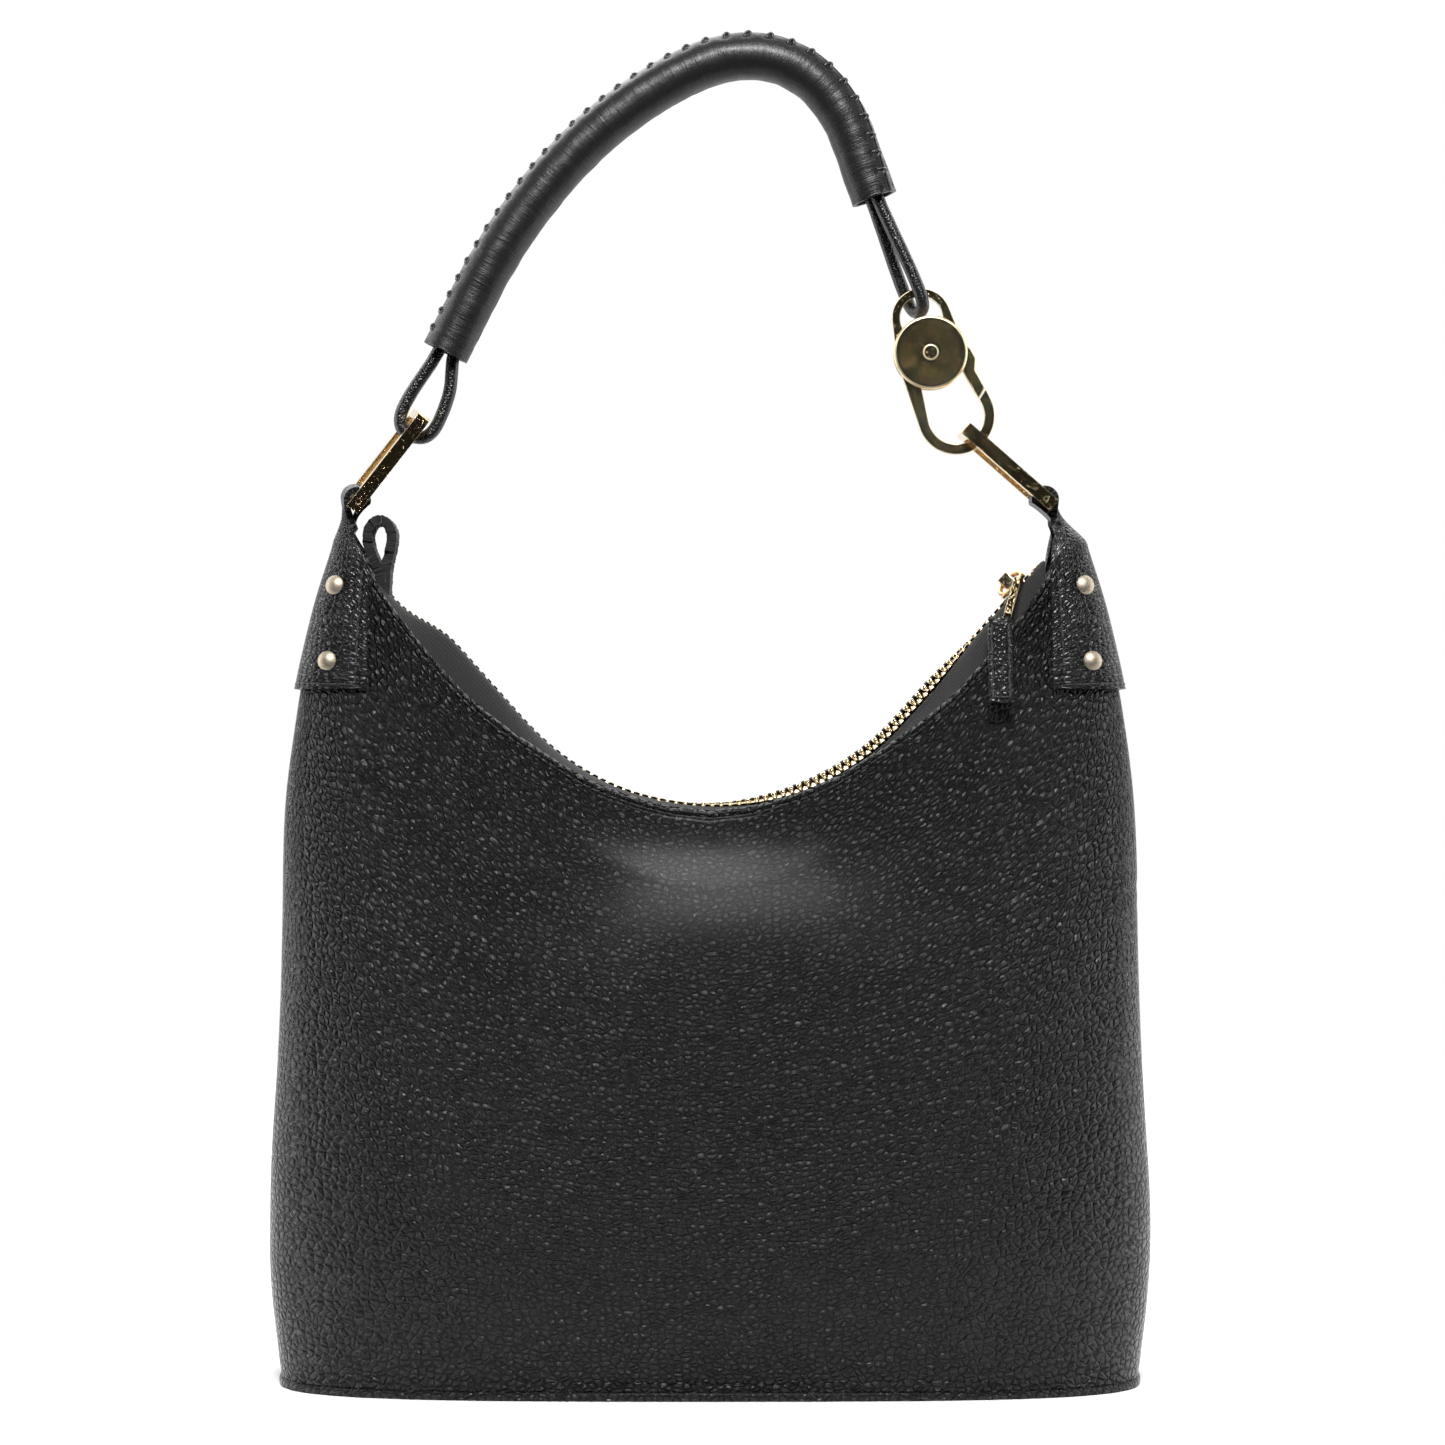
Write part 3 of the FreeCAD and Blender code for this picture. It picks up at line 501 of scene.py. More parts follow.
for v in base.data.vertices:
    size = math.hypot(v.co.x, v.co.y) or 1.0
    v.co.x += base_edge * v.co.x / size
    v.co.y += base_edge * v.co.y / size
modify(base, "BEVEL", width=0.0011, segments=3, limit_method="ANGLE", angle_limit=math.radians(50))
bpy.ops.object.shade_smooth_by_angle(angle=math.radians(40))
flat = base.data.uv_layers.active.data
for loop in base.data.loops:
    at = base.data.vertices[loop.vertex_index].co
    flat[loop.index].uv = (at.x, at.y + at.z)
fit(base, grained_leather, "bag", "grained_leather", "base_panel")


def board_look(wire):
    at = wire.node("TexCoord", {}, {}, "Object")
    fibre = wire.node("TexNoise", {}, {"Vector": at, "Scale": 700.0, "Detail": 5.0}, 0)
    bump = wire.node("Bump", {}, {"Distance": 0.0001, "Height": fibre}, "Normal")
    return {"Base Color": fibre.tint((0.10, 0.075, 0.05), (0.21, 0.17, 0.12)),
            "Roughness": 0.8 + fibre * 0.15, "Normal": bump}


fibre_board = finish("board", board_look)
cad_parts["base_board"].data.materials.clear()
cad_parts["base_board"].data.materials.append(fibre_board)

# ---- lining and slip pocket ----
# A loose bag of black twill hangs inside, sewn to the panels under the rim and to a cloth floor.
# One open-topped pocket with a turned hem is sewn to its back.
def twill(wire, thick, thin, tone):
    uv = wire.node("TexCoord", {}, {}, "UV")
    turned = wire.node("Mapping", {}, {"Vector": uv, "Rotation": (0, 0, math.radians(38))})
    rib = wire.node("TexWave", {"wave_profile": "SIN"}, {"Vector": turned, "Scale": thick}, 1)
    yarn = wire.node("TexWave", {"bands_direction": "Y"}, {"Vector": uv, "Scale": thin}, 1)
    lint = wire.node("TexNoise", {}, {"Vector": uv, "Scale": 900.0, "Detail": 3.0}, 0)
    weave = rib * 0.8 + yarn * 0.4 + lint * 0.3
    bump = wire.node("Bump", {}, {"Distance": 0.00015, "Height": weave}, "Normal")
    # The grooves between the ribs are painted darker, a painted shade; the lint is a random change of tone.
    return {"Base Color": (rib * 0.6 + lint * 0.5).tint((tone * 0.5,) * 3, (tone * 1.4,) * 3),
            "Roughness": 0.78 + lint * 0.15, "Normal": bump}


lining_cloth = finish("lining", lambda wire: twill(wire, 260.0, 420.0, 0.02), Sheen_Weight=0.3)
lining_in = leather + 0.0010
lining_low = 0.0056


def lining_corner(side, low, high, reach, offset, steps, rises):
    def corner(i, j):
        share = share_at(-math.cos(math.pi * i / steps)) if reach == 1 else reach * (2 * i / steps - 1)
        top = rim_height(share) - 0.012 if high is None else high
        z = low + (top - low) * j / rises
        loose = 0.0002 * noise.noise(Vector((share * 7, side, z * 90)))
        at = bag_point(share, z, side, loose - offset)
        return at, (at.x, z)
    return corner


for name, side in (("front", -1), ("back", 1)):
    lining = patch(name + "_lining_cloth", 110, 56,
                   lining_corner(side, lining_low, None, 1, lining_in, 110, 56))
    wall(lining, 0.0006, 0.00015, turn=side > 0)
    fit(lining, lining_cloth, "bag", "lining", "lining_" + name)
pocket = patch("slip_pocket_cloth", 48, 40,
               lining_corner(1, 0.070, 0.145, 0.45, lining_in + 0.0010, 48, 40))
for v in pocket.data.vertices:
    if v.co.z > 0.139:
        v.co.y -= 0.0002
wall(pocket, 0.0006, 0.00015, turn=True)
fit(pocket, lining_cloth, "bag", "lining", "slip_pocket")


def floor_corner(i, j):
    x, y = 2 * i / 60 - 1, 2 * j / 24 - 1
    far = max(abs(x), abs(y)) or 1.0
    x, y = x / far, y / far
    size = (abs(x) ** corner_power + abs(y) ** corner_power) ** (1 / corner_power) or 1.0
    x, y = x / size * far * (base_half_width - lining_in), y / size * far * (base_half_depth - lining_in)
    return Vector((x, y, lining_low + 0.00015 * noise.noise(Vector((x * 60, y * 60, 0))) - 0.0001)), (x, y)


lining_floor = patch("lining_floor_cloth", 60, 24, floor_corner)
wall(lining_floor, 0.0005, 0.00012)
fit(lining_floor, lining_cloth, "bag", "lining", "lining_base")

# ---- tabs at the ears ----
# One piece of smoother leather folded round each ear from front to back, sewn along its edges, then
# drawn in to a strap that goes over the shackle's pin and down inside the bag.
def tight_grain(wire):
    return hide_grain(wire, 0.0013, 0.0006, (0.8, 1.0), 0.006, 0.25)


trim_leather = finish("trim_leather", tight_grain, Specular_IOR_Level=0.36, Coat_Weight=0.06,
                      Coat_Roughness=0.28)
tab_inner = ear_half_width - 0.0105
tab_low = ear_height - 0.046
tab_gap = 0.00035
tab_leather = 0.0018
strap_half = 0.006
pins = {"left": (-1, Vector((0.0051 - ear_half_width, 0, ear_height + 0.0148)), 52.0, 13.0),
        "right": (1, Vector((ear_half_width - 0.0117, 0, ear_height + 0.0144)), 138.7, 0.0)}
strap_round = 0.002 + 0.0003 + 0.002
tab_rows, neck_rows, loop_rows, tail_rows = 44, 16, 14, 14


def tab_point(hand, u, v, out):
    """Point on the tab, u from -1 in front to 1 at the back, v from its lower edge to its top."""
    z = tab_low
    for _ in range(3):
        wide = half_width(min(z, ear_height))
        start = math.acos(min(1.0, tab_inner / wide) ** (corner_power / 2))
        share = math.cos(start * abs(u)) ** (2 / corner_power)
        top = min(rim_height(min(1.0, share)) + 0.0004, ear_height + 0.0005)
        z = tab_low + (top - tab_low) * v
    z = min(z, ear_height)
    share = min(1.0, share)
    at = bag_point(share, min(z, rim_height(share)), 1 if u > 0 else -1, out)
    at.x *= hand
    at.z = tab_low + (top - tab_low) * v
    return at


def soft_step(t):
    t = min(1.0, max(0.0, t))
    return t * t * (3 - 2 * t)


def tab_corner(name):
    hand, pin, lie, twist = pins[name]
    turn = Matrix.Rotation(math.radians(-lie), 3, "Y") @ Matrix.Rotation(math.radians(twist), 3, "X")
    axle = turn @ Vector((0, 1, 0))
    outward = Vector((hand, 0, 0))
    outward = (outward - axle * outward.dot(axle)).normalized()
    upward = axle.cross(outward) if (axle.cross(outward)).z > 0 else outward.cross(axle)

    def over_pin(u, angle):
        ring = outward * math.cos(angle) + upward * math.sin(angle)
        return pin + axle * (u * strap_half) + ring * (strap_round + 0.0001)

    def outer_neck(t):
        return tab_point(hand, 0.0, 1.0, tab_gap + tab_leather).lerp(over_pin(0.0, -0.25), t)

    def corner(i, j):
        u = 2 * i / 56 - 1
        edge = 1 - abs(u)
        if j <= tab_rows:
            v = j / tab_rows
            sewn = min(edge * 0.021, v * 0.046)
            work = 0.00014 * math.exp(-((sewn - 0.0006) / 0.0006) ** 2)
            work -= 0.0003 * math.exp(-((sewn - 0.0016) / 0.0004) ** 2)
            if sewn > 0.012:
                work = 0.0
            at = tab_point(hand, u, v, tab_gap + tab_leather + work)
            run = v * 0.046
        elif j <= tab_rows + neck_rows:
            t = (j - tab_rows) / neck_rows
            low = tab_point(hand, u, 1.0, tab_gap + tab_leather)
            high = over_pin(u, -0.25)
            at = low.lerp(high, t)
            at.x = low.x + (high.x - low.x) * soft_step(t) ** 0.8
            at.y = low.y + (high.y - low.y) * soft_step(min(1.0, t * 1.25))
            at.x -= hand * 0.0010 * math.sin(math.pi * t) * (0.35 + 0.65 * abs(u))
            at.x -= hand * 0.0004 * math.sin(math.pi * t) * math.cos(u * 9.0)
            run = 0.046 + t * 0.016
        elif j <= tab_rows + neck_rows + loop_rows:
            t = (j - tab_rows - neck_rows) / loop_rows
            at = over_pin(u, -0.25 + t * (math.pi + 0.5))
            run = 0.062 + t * 0.014
        else:
            t = (j - tab_rows - neck_rows - loop_rows) / tail_rows
            high = over_pin(u, math.pi + 0.25)
            pinch = Vector((outer_neck(0.45).x - hand * 0.0024, u * 0.0056, ear_height + 0.0062))
            low = Vector((hand * (ear_half_width - 0.0062), u * 0.0044, ear_height - 0.005))
            at = high * (1 - t) ** 2 + pinch * (2 * t * (1 - t)) + low * t ** 2
            run = 0.076 + t * 0.012
        return at, (u * 0.018, run)
    return corner


stitch_lie = tab_gap + tab_leather - 0.0002
for name in pins:
    hand = pins[name][0]
    tab = patch(name + "_tab_leather", 56, tab_rows + neck_rows + loop_rows + tail_rows, tab_corner(name))
    wall(tab, tab_leather, 0.0004, turn=hand < 0, even=False)
    fit(tab, trim_leather, "bag", "trim_leather", name + "_tab")
    places = []
    for side in (-1, 1):
        ups = [tab_point(hand, side * 0.915, 0.045 + 0.90 * k / 60, stitch_lie) for k in range(61)]
        outs = [Vector((hand * 0.35, side, 0)).normalized()] * 61
        places += seam(ups, outs, 0.0028)
    ring = [tab_point(hand, -0.915 + 1.83 * k / 120, 0.036, stitch_lie) for k in range(121)]
    outs = []
    for k in range(121):
        ahead = ring[min(k + 1, 120)] - ring[max(k - 1, 0)]
        out = ahead.cross(Vector((0, 0, 1)))
        outs.append(out if out.dot(Vector((hand, (k - 60) / 60, 0))) > 0 else out * -1)
    places += seam(ring, outs, 0.0028)
    tab_stitches = copies(name + "_tab_stitches", stitch, places)
    fit(tab_stitches, thread, "bag", "thread")

# ---- rivets ----
# Domed brass caps with a pale gold finish, two on each face of each tab, set through tab and panel
# onto a flat foot inside. A thin bright rim runs round each cap.
def metal_look(wire, warm, pale, scratch, rough):
    at = wire.node("TexCoord", {}, {}, "Object")
    cloud = wire.node("TexNoise", {}, {"Vector": at, "Scale": 160.0, "Detail": 4.0}, 0)
    speck = wire.node("TexNoise", {}, {"Vector": at, "Scale": 2900.0, "Detail": 3.0, "Roughness": 0.6}, 0)
    drawn = wire.node("Mapping", {}, {"Vector": at, "Rotation": (0.3, 0.9, 0.2),
                                      "Scale": (60.0, 1500.0, 1100.0)})
    line = wire.node("TexNoise", {}, {"Vector": drawn, "Scale": 1.0, "Detail": 2.0}, 0)
    # Specks of wear, raised in the bump and rougher; their paler colour is painted glints.
    wear_and_glint_specks = speck.between(0.60, 0.72)
    bump = wire.node("Bump", {}, {"Distance": 0.00002, "Height": line * scratch + wear_and_glint_specks * 1.6}, "Normal")
    return {"Base Color": (cloud * 0.5 + wear_and_glint_specks * 0.4).tint(warm, pale),
            "Roughness": rough + (cloud - 0.5) * 0.06 + wear_and_glint_specks * 0.22 + line * 0.03, "Normal": bump}


def metal(name, *look):
    """Metal finish with the given two tones, depth of scratches and roughness."""
    return finish(name, lambda wire: metal_look(wire, *look), Metallic=1.0)


gold = metal("gold", (0.72, 0.52, 0.26), (0.96, 0.80, 0.50), 0.4, 0.07)
pale_gold = metal("pale_gold", (0.42, 0.36, 0.27), (0.56, 0.51, 0.42), 0.9, 0.52)
zip_metal = metal("zip_metal", (0.72, 0.58, 0.36), (0.95, 0.86, 0.66), 0.4, 0.22)
# Paler gold for the eased edges of gold pieces: its pale colour is a painted highlight along the edges, and
# its higher roughness is real.
edge_highlight_gold = metal("edge_highlight_gold", (0.93, 0.78, 0.50), (1.0, 0.92, 0.74), 0.4, 0.40)


def dress(node, name, material, body, slot, edge=0.0, angle=35):
    """A made copy of a hard piece with its corners eased so that they catch the light; on gold pieces the
    eased faces take a paler gold, a painted highlight.
    """
    piece = bpy.data.objects.new(name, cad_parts[node].data.copy())
    piece.data.name = name
    for key in list(piece.data.attributes.keys()):
        if key.startswith("_FK"):
            piece.data.attributes.remove(piece.data.attributes[key])
    scene.collection.objects.link(piece)
    edit(piece, lambda: bpy.ops.mesh.remove_doubles(threshold=2e-6),
         lambda: bpy.ops.mesh.dissolve_limited(angle_limit=math.radians(1.5)),
         lambda: bpy.ops.mesh.normals_make_consistent(inside=False))
    if edge:
        piece.data.materials.append(material)
        piece.data.materials.append(edge_highlight_gold)
        modify(piece, "BEVEL", width=edge, segments=3, limit_method="ANGLE", angle_limit=math.radians(angle),
               material=1 if material == gold else -1)
    # Eased faces of gold pieces, which take the paler gold of the painted edge highlight.
    highlight_faces = [face.index for face in piece.data.polygons if face.material_index == 1]
    only(piece)
    bpy.ops.object.shade_smooth_by_angle(angle=math.radians(angle))
    modify(piece, "WEIGHTED_NORMAL", keep_sharp=True, weight=90)
    fit(piece, material, body, slot, node)
    if highlight_faces:
        piece.data.materials.append(edge_highlight_gold)
        for face in highlight_faces:
            piece.data.polygons[face].material_index = 1
    return piece


for name in pins:
    dress("tab_rivets_" + name, name + "_rivets", pale_gold, "bag", "pale_gold", 0.00018, 40)

# ---- shackles and their pins ----
# Flat gold plated bars bent to a U, held in each tab's loop by a pin with small recessed ends.
# The right one hooks into the snap clip and the left one carries the handle's cord.
for name in pins:
    dress(name + "_shackle", name + "_shackle_bar", gold, name + "_shackle", "gold", 0.00022, 40)
    dress(name + "_shackle_pin", name + "_shackle_rod", gold, name + "_shackle", "gold", 0.00012, 40)

# ---- snap clip ----
# A flat gold plated frame with a fixed hook and an eye, a sprung gate beside the hook, and a round
# disc on each face held by a slotted screw through the middle.
for node, name, edge in (("clip_frame", "clip_body", 0.0004),
                         ("clip_disc_front", "clip_front_disc", 0.00025),
                         ("clip_disc_back", "clip_back_disc", 0.0002),
                         ("clip_screw", "clip_slotted_screw", 0.00042),
                         ("gate_pin", "clip_gate_pin", 0.0001)):
    dress(node, name, gold, "clip", "gold", edge, 38)
dress("clip_gate", "clip_sprung_gate", gold, "gate", "gold", 0.00035, 38)
spring_steel = metal("spring_steel", (0.42, 0.42, 0.43), (0.66, 0.66, 0.68), 0.8, 0.3)
dress("gate_spring", "clip_gate_spring", spring_steel, "clip", "spring_steel", 0.00008, 38)

# ---- zip tapes ----
# Black woven tape, one to each rim. It is sewn inside the turned edge of the panel, rises to the
# chain and lies flat beside the teeth, where its cord edge is thicker.
chain_arc = 0.082
chain_low = mouth_height + 0.0008
chain_end = Vector((ear_half_width - 0.014, 0, ear_height - 0.008))
to_end = chain_end - Vector((0, 0, chain_low + chain_arc))
slope = (math.atan2(to_end.z, to_end.x) - math.acos(chain_arc / to_end.length)) + math.pi / 2
slope_length = math.sqrt(to_end.length ** 2 - chain_arc ** 2)
half_arc = chain_arc * slope
half_chain = half_arc + slope_length


def chain(s):
    """Point of the chain and its heading, s from the middle along it."""
    side, run = (1 if s >= 0 else -1), abs(s)
    if run < half_arc:
        angle = run / chain_arc
        at = Vector((math.sin(angle) * chain_arc, 0, chain_low + chain_arc - math.cos(angle) * chain_arc))
    else:
        angle = slope
        at = chain_end - Vector((math.cos(angle), 0, math.sin(angle))) * (half_chain - run)
    tuck = 0.0075 * soft_step((-s - half_chain + 0.034) / 0.030)
    return Vector((side * at.x, 0, at.z - tuck)), side * angle


def chain_roll(s):
    """How far the chain leans to the front, as the slack tape lets it, in radians."""
    return math.radians(30) * soft_step((s + 0.02) / 0.06) * soft_step((0.112 - s) / 0.03) \
        - math.radians(16) * soft_step((-s - 0.02) / 0.05)


def rolled(at, angle, s, y, lift):
    """Point beside the chain, y across it and lift above it, with the chain's lean."""
    roll = chain_roll(s)
    across, above = y * math.cos(roll) + lift * math.sin(-roll), lift * math.cos(roll) + y * math.sin(roll)
    up = Vector((-math.sin(angle), 0, math.cos(angle)))
    return at + Vector((0, across, 0)) + up * above


def tape_look(wire):
    uv = wire.node("TexCoord", {}, {}, "UV")
    warp = wire.node("TexWave", {"bands_direction": "Y"},
                     {"Vector": uv, "Scale": 620.0, "Distortion": 0.6}, 1)
    slant = wire.node("Mapping", {}, {"Vector": uv, "Rotation": (0, 0, 0.9)})
    weft = wire.node("TexWave", {}, {"Vector": slant, "Scale": 420.0}, 1)
    lint = wire.node("TexNoise", {}, {"Vector": uv, "Scale": 1400.0, "Detail": 3.0}, 0)
    height = warp * 0.35 + weft * 0.4 + lint * 0.6
    bump = wire.node("Bump", {}, {"Distance": 0.00022, "Height": height}, "Normal")
    # Its colour follows the weave's height: painted shade in the hollows between the yarns, lighter on the
    # raised yarns.
    return {"Base Color": (height * 0.55).tint((0.002, 0.002, 0.002), (0.010, 0.0095, 0.009)),
            "Roughness": 0.75 + lint * 0.2, "Normal": bump}


zip_tape = finish("zip_tape", tape_look, Sheen_Weight=0.12, Sheen_Roughness=0.5)
tape_across = [0.0, 0.08, 0.16, 0.24, 0.32, 0.42, 0.54, 0.66, 0.78, 0.9, 1.0]


def tape_corner(side):
    def corner(i, j):
        s = (half_chain + 0.0035) * (2 * i / 220 - 1)
        at, angle = chain(s)
        share = at.x / half_width(at.z)
        low = bag_point(share, rim_height(share) - 0.003, side, -(leather + 0.0005))
        u = tape_across[j]
        start = side * 0.0032
        y = start + (low.y - start) * u
        cord = 0.00028 if u < 0.1 else 0.0
        high = rolled(at, angle, s, y, 0.00035 + cord)
        fall = max(0.0, (abs(y) - 0.0045) / (abs(low.y) - 0.0045)) ** 1.3
        lint = 0.00025 * noise.noise(Vector((s * 900, side * 3.0, 1.0))) if u < 0.1 else 0.0
        return Vector((high.x, high.y, high.z + (low.z - high.z) * fall + lint)).lerp(
            Vector((at.x, low.y, low.z)), fall), (s, abs(y))
    return corner


for name, side in (("front", -1), ("back", 1)):
    tape = patch(name + "_zip_tape_weave", 220, len(tape_across) - 1, tape_corner(side))
    wall(tape, 0.0007, 0.00015, turn=side < 0)
    fit(tape, zip_tape, "bag", "zip_tape", "zip_tape_" + name)

# ---- zip teeth and end stops ----
# Pressed brass teeth clamped on the cord edge of each tape. Each has two legs and a nose, which
# lies between the noses of the other row.
bpy.ops.object.select_all(action="DESELECT")
bpy.ops.mesh.primitive_cube_add(size=1, location=(0, 0.0021, 0))
tooth = bpy.context.object
tooth.scale = (0.0017, 0.0020, 0.0026)
bpy.ops.object.transform_apply(location=True, scale=True)
for reach, size in ((-0.0004, (0.76, 1, 0.82)), (-0.0009, (0.98, 1, 0.98)), (-0.0003, (0.7, 1, 0.7))):
    for face in tooth.data.polygons:
        face.select = face.normal.y < -0.9
    bpy.ops.object.mode_set(mode="EDIT")
    bpy.ops.mesh.extrude_region_move(TRANSFORM_OT_translate={"value": (0, reach, 0)})
    bpy.ops.transform.resize(value=size)
    bpy.ops.object.mode_set(mode="OBJECT")
modify(tooth, "BEVEL", width=0.00022, segments=1, limit_method="ANGLE", angle_limit=math.radians(60))
tooth_pitch = 0.0029
count = int((half_chain - 0.0026) / tooth_pitch)
for name, side in (("front", -1), ("back", 1)):
    places = []
    for k in range(-count, count + 1):
        s = k * tooth_pitch + side * tooth_pitch / 4
        at, angle = chain(s)
        place = (Matrix.Rotation(-angle, 4, "Y") @ Matrix.Rotation(chain_roll(s), 4, "X")
                 @ Matrix.Rotation(math.pi if side < 0 else 0, 4, "Z"))
        place.translation = at
        places.append(place)
    teeth = copies(name + "_zip_teeth_row", tooth, places)
    fit(teeth, zip_metal, "bag", "zip_metal", "zip_teeth_" + name)
bpy.data.objects.remove(tooth)
stops = dress("zip_stops", "zip_end_stops", zip_metal, "bag", "zip_metal", 0.0003, 40)
for v in stops.data.vertices:
    if v.co.x < 0:
        v.co.z += chain(-half_chain)[0].z - chain_end.z

# ---- folded tape end ----
# The spare end of the zip's tape, folded over in a soft loop that stands up inside the left ear.
# Its cut edges are brushed and a little fuzzy.
loop_line = [(-104.6, 250.0), (-104.6, 255.0), (-105.9, 258.6), (-107.9, 262.8), (-109.3, 267.2),
             (-108.9, 271.4), (-106.3, 274.0), (-103.4, 273.4), (-101.5, 270.4), (-101.5, 266.6),
             (-102.6, 262.4), (-103.4, 258.6), (-103.6, 255.0), (-103.8, 250.0)]


def curve_line(points, resolution, order=3):
    """Points along a soft line through the space between the given points."""
    bpy.ops.object.select_all(action="DESELECT")
    bpy.ops.curve.primitive_nurbs_path_add()
    guide = bpy.context.object
    guide.data.splines.clear()
    spline = guide.data.splines.new("NURBS")
    spline.points.add(len(points) - 1)
    for point, at in zip(spline.points, points):
        point.co = (*at, 1)
    spline.order_u = order
    spline.use_endpoint_u = True
    guide.data.resolution_u = resolution
    guide.data.dimensions = "3D"
    line = bpy.data.meshes.new_from_object(guide)
    found = [v.co.copy() for v in line.vertices]
    bpy.data.objects.remove(guide)
    return found


fold = curve_line([(x / 1000, 0, z / 1000) for x, z in loop_line], 7)


def fold_corner(i, j):
    at = fold[i]
    ahead = fold[min(i + 1, len(fold) - 1)] - fold[max(i - 1, 0)]
    out = Vector((-ahead.z, 0, ahead.x)).normalized()
    across = (2 * j / 16 - 1) * 0.0052
    rough = 0.00045 * noise.noise(Vector((i * 0.9, j * 1.7, 3.0)))
    frayed = 0.0005 * noise.noise(Vector((i * 1.3, 9.0 + (j > 8), 0))) if j in (0, 16) else 0.0
    return at + out * (0.0016 + rough) + Vector((0, across + frayed, 0)), (i * 0.0012, across)


loop = patch("zip_tape_fold", len(fold) - 1, 16, fold_corner)
wall(loop, 0.0031, 0.0006, even=False)
fit(loop, zip_tape, "bag", "zip_tape", "zip_end_loop")

# ---- zip slider, ring and clasp ----
# A cast brass slider, wide at its nose and narrow at its tail, with a bridge on top. A round wire
# ring hangs from the bridge, and a folded clasp hooks on the ring and grips the leather pull.
slider = dress("zip_slider", "zip_slider_body", zip_metal, "slider", "gold")
middle = chain_end - Vector((math.cos(slope), 0, math.sin(slope))) * 0.009
for v in slider.data.vertices:
    ahead = (v.co - middle).dot(Vector((math.cos(slope), 0, math.sin(slope))))
    if abs(v.co.y) > 0.0025:
        v.co.y *= 0.90 + 0.22 * min(1.0, max(-1.0, ahead / 0.005))
modify(slider, "BEVEL", width=0.00035, segments=3, limit_method="ANGLE", angle_limit=math.radians(40))
bpy.ops.object.shade_smooth_by_angle(angle=math.radians(40))
warm_gold = metal("warm_gold", (0.46, 0.27, 0.11), (0.78, 0.52, 0.26), 0.5, 0.2)
dress("pull_ring", "pull_ring_wire", warm_gold, "ring", "gold", angle=60)
dress("pull_clasp", "pull_folded_clasp", gold, "pull", "gold", 0.00035, 40)

# ---- leather pull ----
# Two layers of leather folded over the clasp, sewn together down both edges and across the end.
# The cut edges on each side are painted, but here they are only eased, with no colour of their own.
pull_low, pull_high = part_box("pull_tab")
pull_width, pull_length, pull_thick, pull_lean = 0.0076, 0.028, 0.0022, math.radians(-12)
pull_top = Vector(((pull_low.x + pull_high.x) / 2, 0, 0))
pull_top.z = pull_high.z - 0.0011 * math.sin(math.radians(12))
pull_top.y = pull_high.y - 0.0011 * math.cos(math.radians(12))


def pull_corner(face):
    def corner(i, j):
        x, t = (2 * i / 14 - 1), j / 44
        edge = min(1 - abs(x), (1 - t) * 7.0, t * 7.0)
        crown = 0.00035 * soft_step(edge * 3) - 0.00022 * math.exp(-((edge - 0.30) / 0.09) ** 2)
        ripple = 0.00018 * noise.noise(Vector((x * 2.2, t * 16, face))) + 0.00035 * math.sin(t * 5.0) * t
        y = face * (0.00095 + crown) + (ripple if face < 0 else ripple * 0.8)
        wave = 0.00012 * math.sin(t * 23 + x)
        at = Vector((x * (pull_width / 2) * (1 - 0.05 * (t < 0.03)) + wave, y, -pull_length * t))
        return Matrix.Rotation(pull_lean, 3, "X") @ at + pull_top, (x * pull_width / 2, pull_length * t)
    return corner


halves = [patch("leather_pull", 14, 44, pull_corner(-1)), patch("leather_pull_back", 14, 44, pull_corner(1))]
edit(halves[0], bpy.ops.mesh.flip_normals)
only(*halves)
bpy.ops.object.join()
leather_pull = bpy.context.object
edit(leather_pull, lambda: bpy.ops.mesh.select_all(action="DESELECT"),
     lambda: bpy.ops.mesh.select_non_manifold(), lambda: bpy.ops.mesh.bridge_edge_loops(),
     lambda: bpy.ops.mesh.select_all(action="SELECT"),
     lambda: bpy.ops.mesh.normals_make_consistent(inside=False))
modify(leather_pull, "BEVEL", width=0.0003, segments=2, limit_method="ANGLE", angle_limit=math.radians(50))
bpy.ops.object.shade_smooth_by_angle(angle=math.radians(45))
fit(leather_pull, trim_leather, "pull", "trim_leather", "pull_tab")
places = []
for x in (-0.70, 0.70):
    down = [pull_corner(-1)(7 + x * 7, 4 + 36 * k / 40)[0] for k in range(41)]
    places += seam(down, [Vector((0, -1, -0.2))] * 41, 0.0024)
foot = [pull_corner(-1)(7 + 4.9 * (2 * k / 10 - 1), 41)[0] for k in range(11)]
places += seam(foot, [Vector((0, -1, -0.2))] * 11, 0.0024)
pull_stitches = copies("pull_stitches", stitch, places)
fit(pull_stitches, thread, "pull", "thread")

# ---- cord loops of the handle ----
# Round black leather cord. Both ends go up inside the sleeve, side by side; the left loop goes
# round the bow of its shackle, and the right one round the eye of the clip.
def cord_grain(wire):
    return hide_grain(wire, 0.0009, 0.00016, (0.5, 1.0), 0.005, 0.28)


cord_leather = finish("cord_leather", cord_grain, Specular_IOR_Level=0.5, Coat_Weight=0.25,
                      Coat_Roughness=0.25)
cord_radius = 0.0021
left_end = Vector((-0.084473, 0, 0.327592))
right_end = Vector((0.052611, 0, 0.376961))


def aim(degrees):
    return Vector((math.cos(math.radians(degrees)), 0, math.sin(math.radians(degrees))))


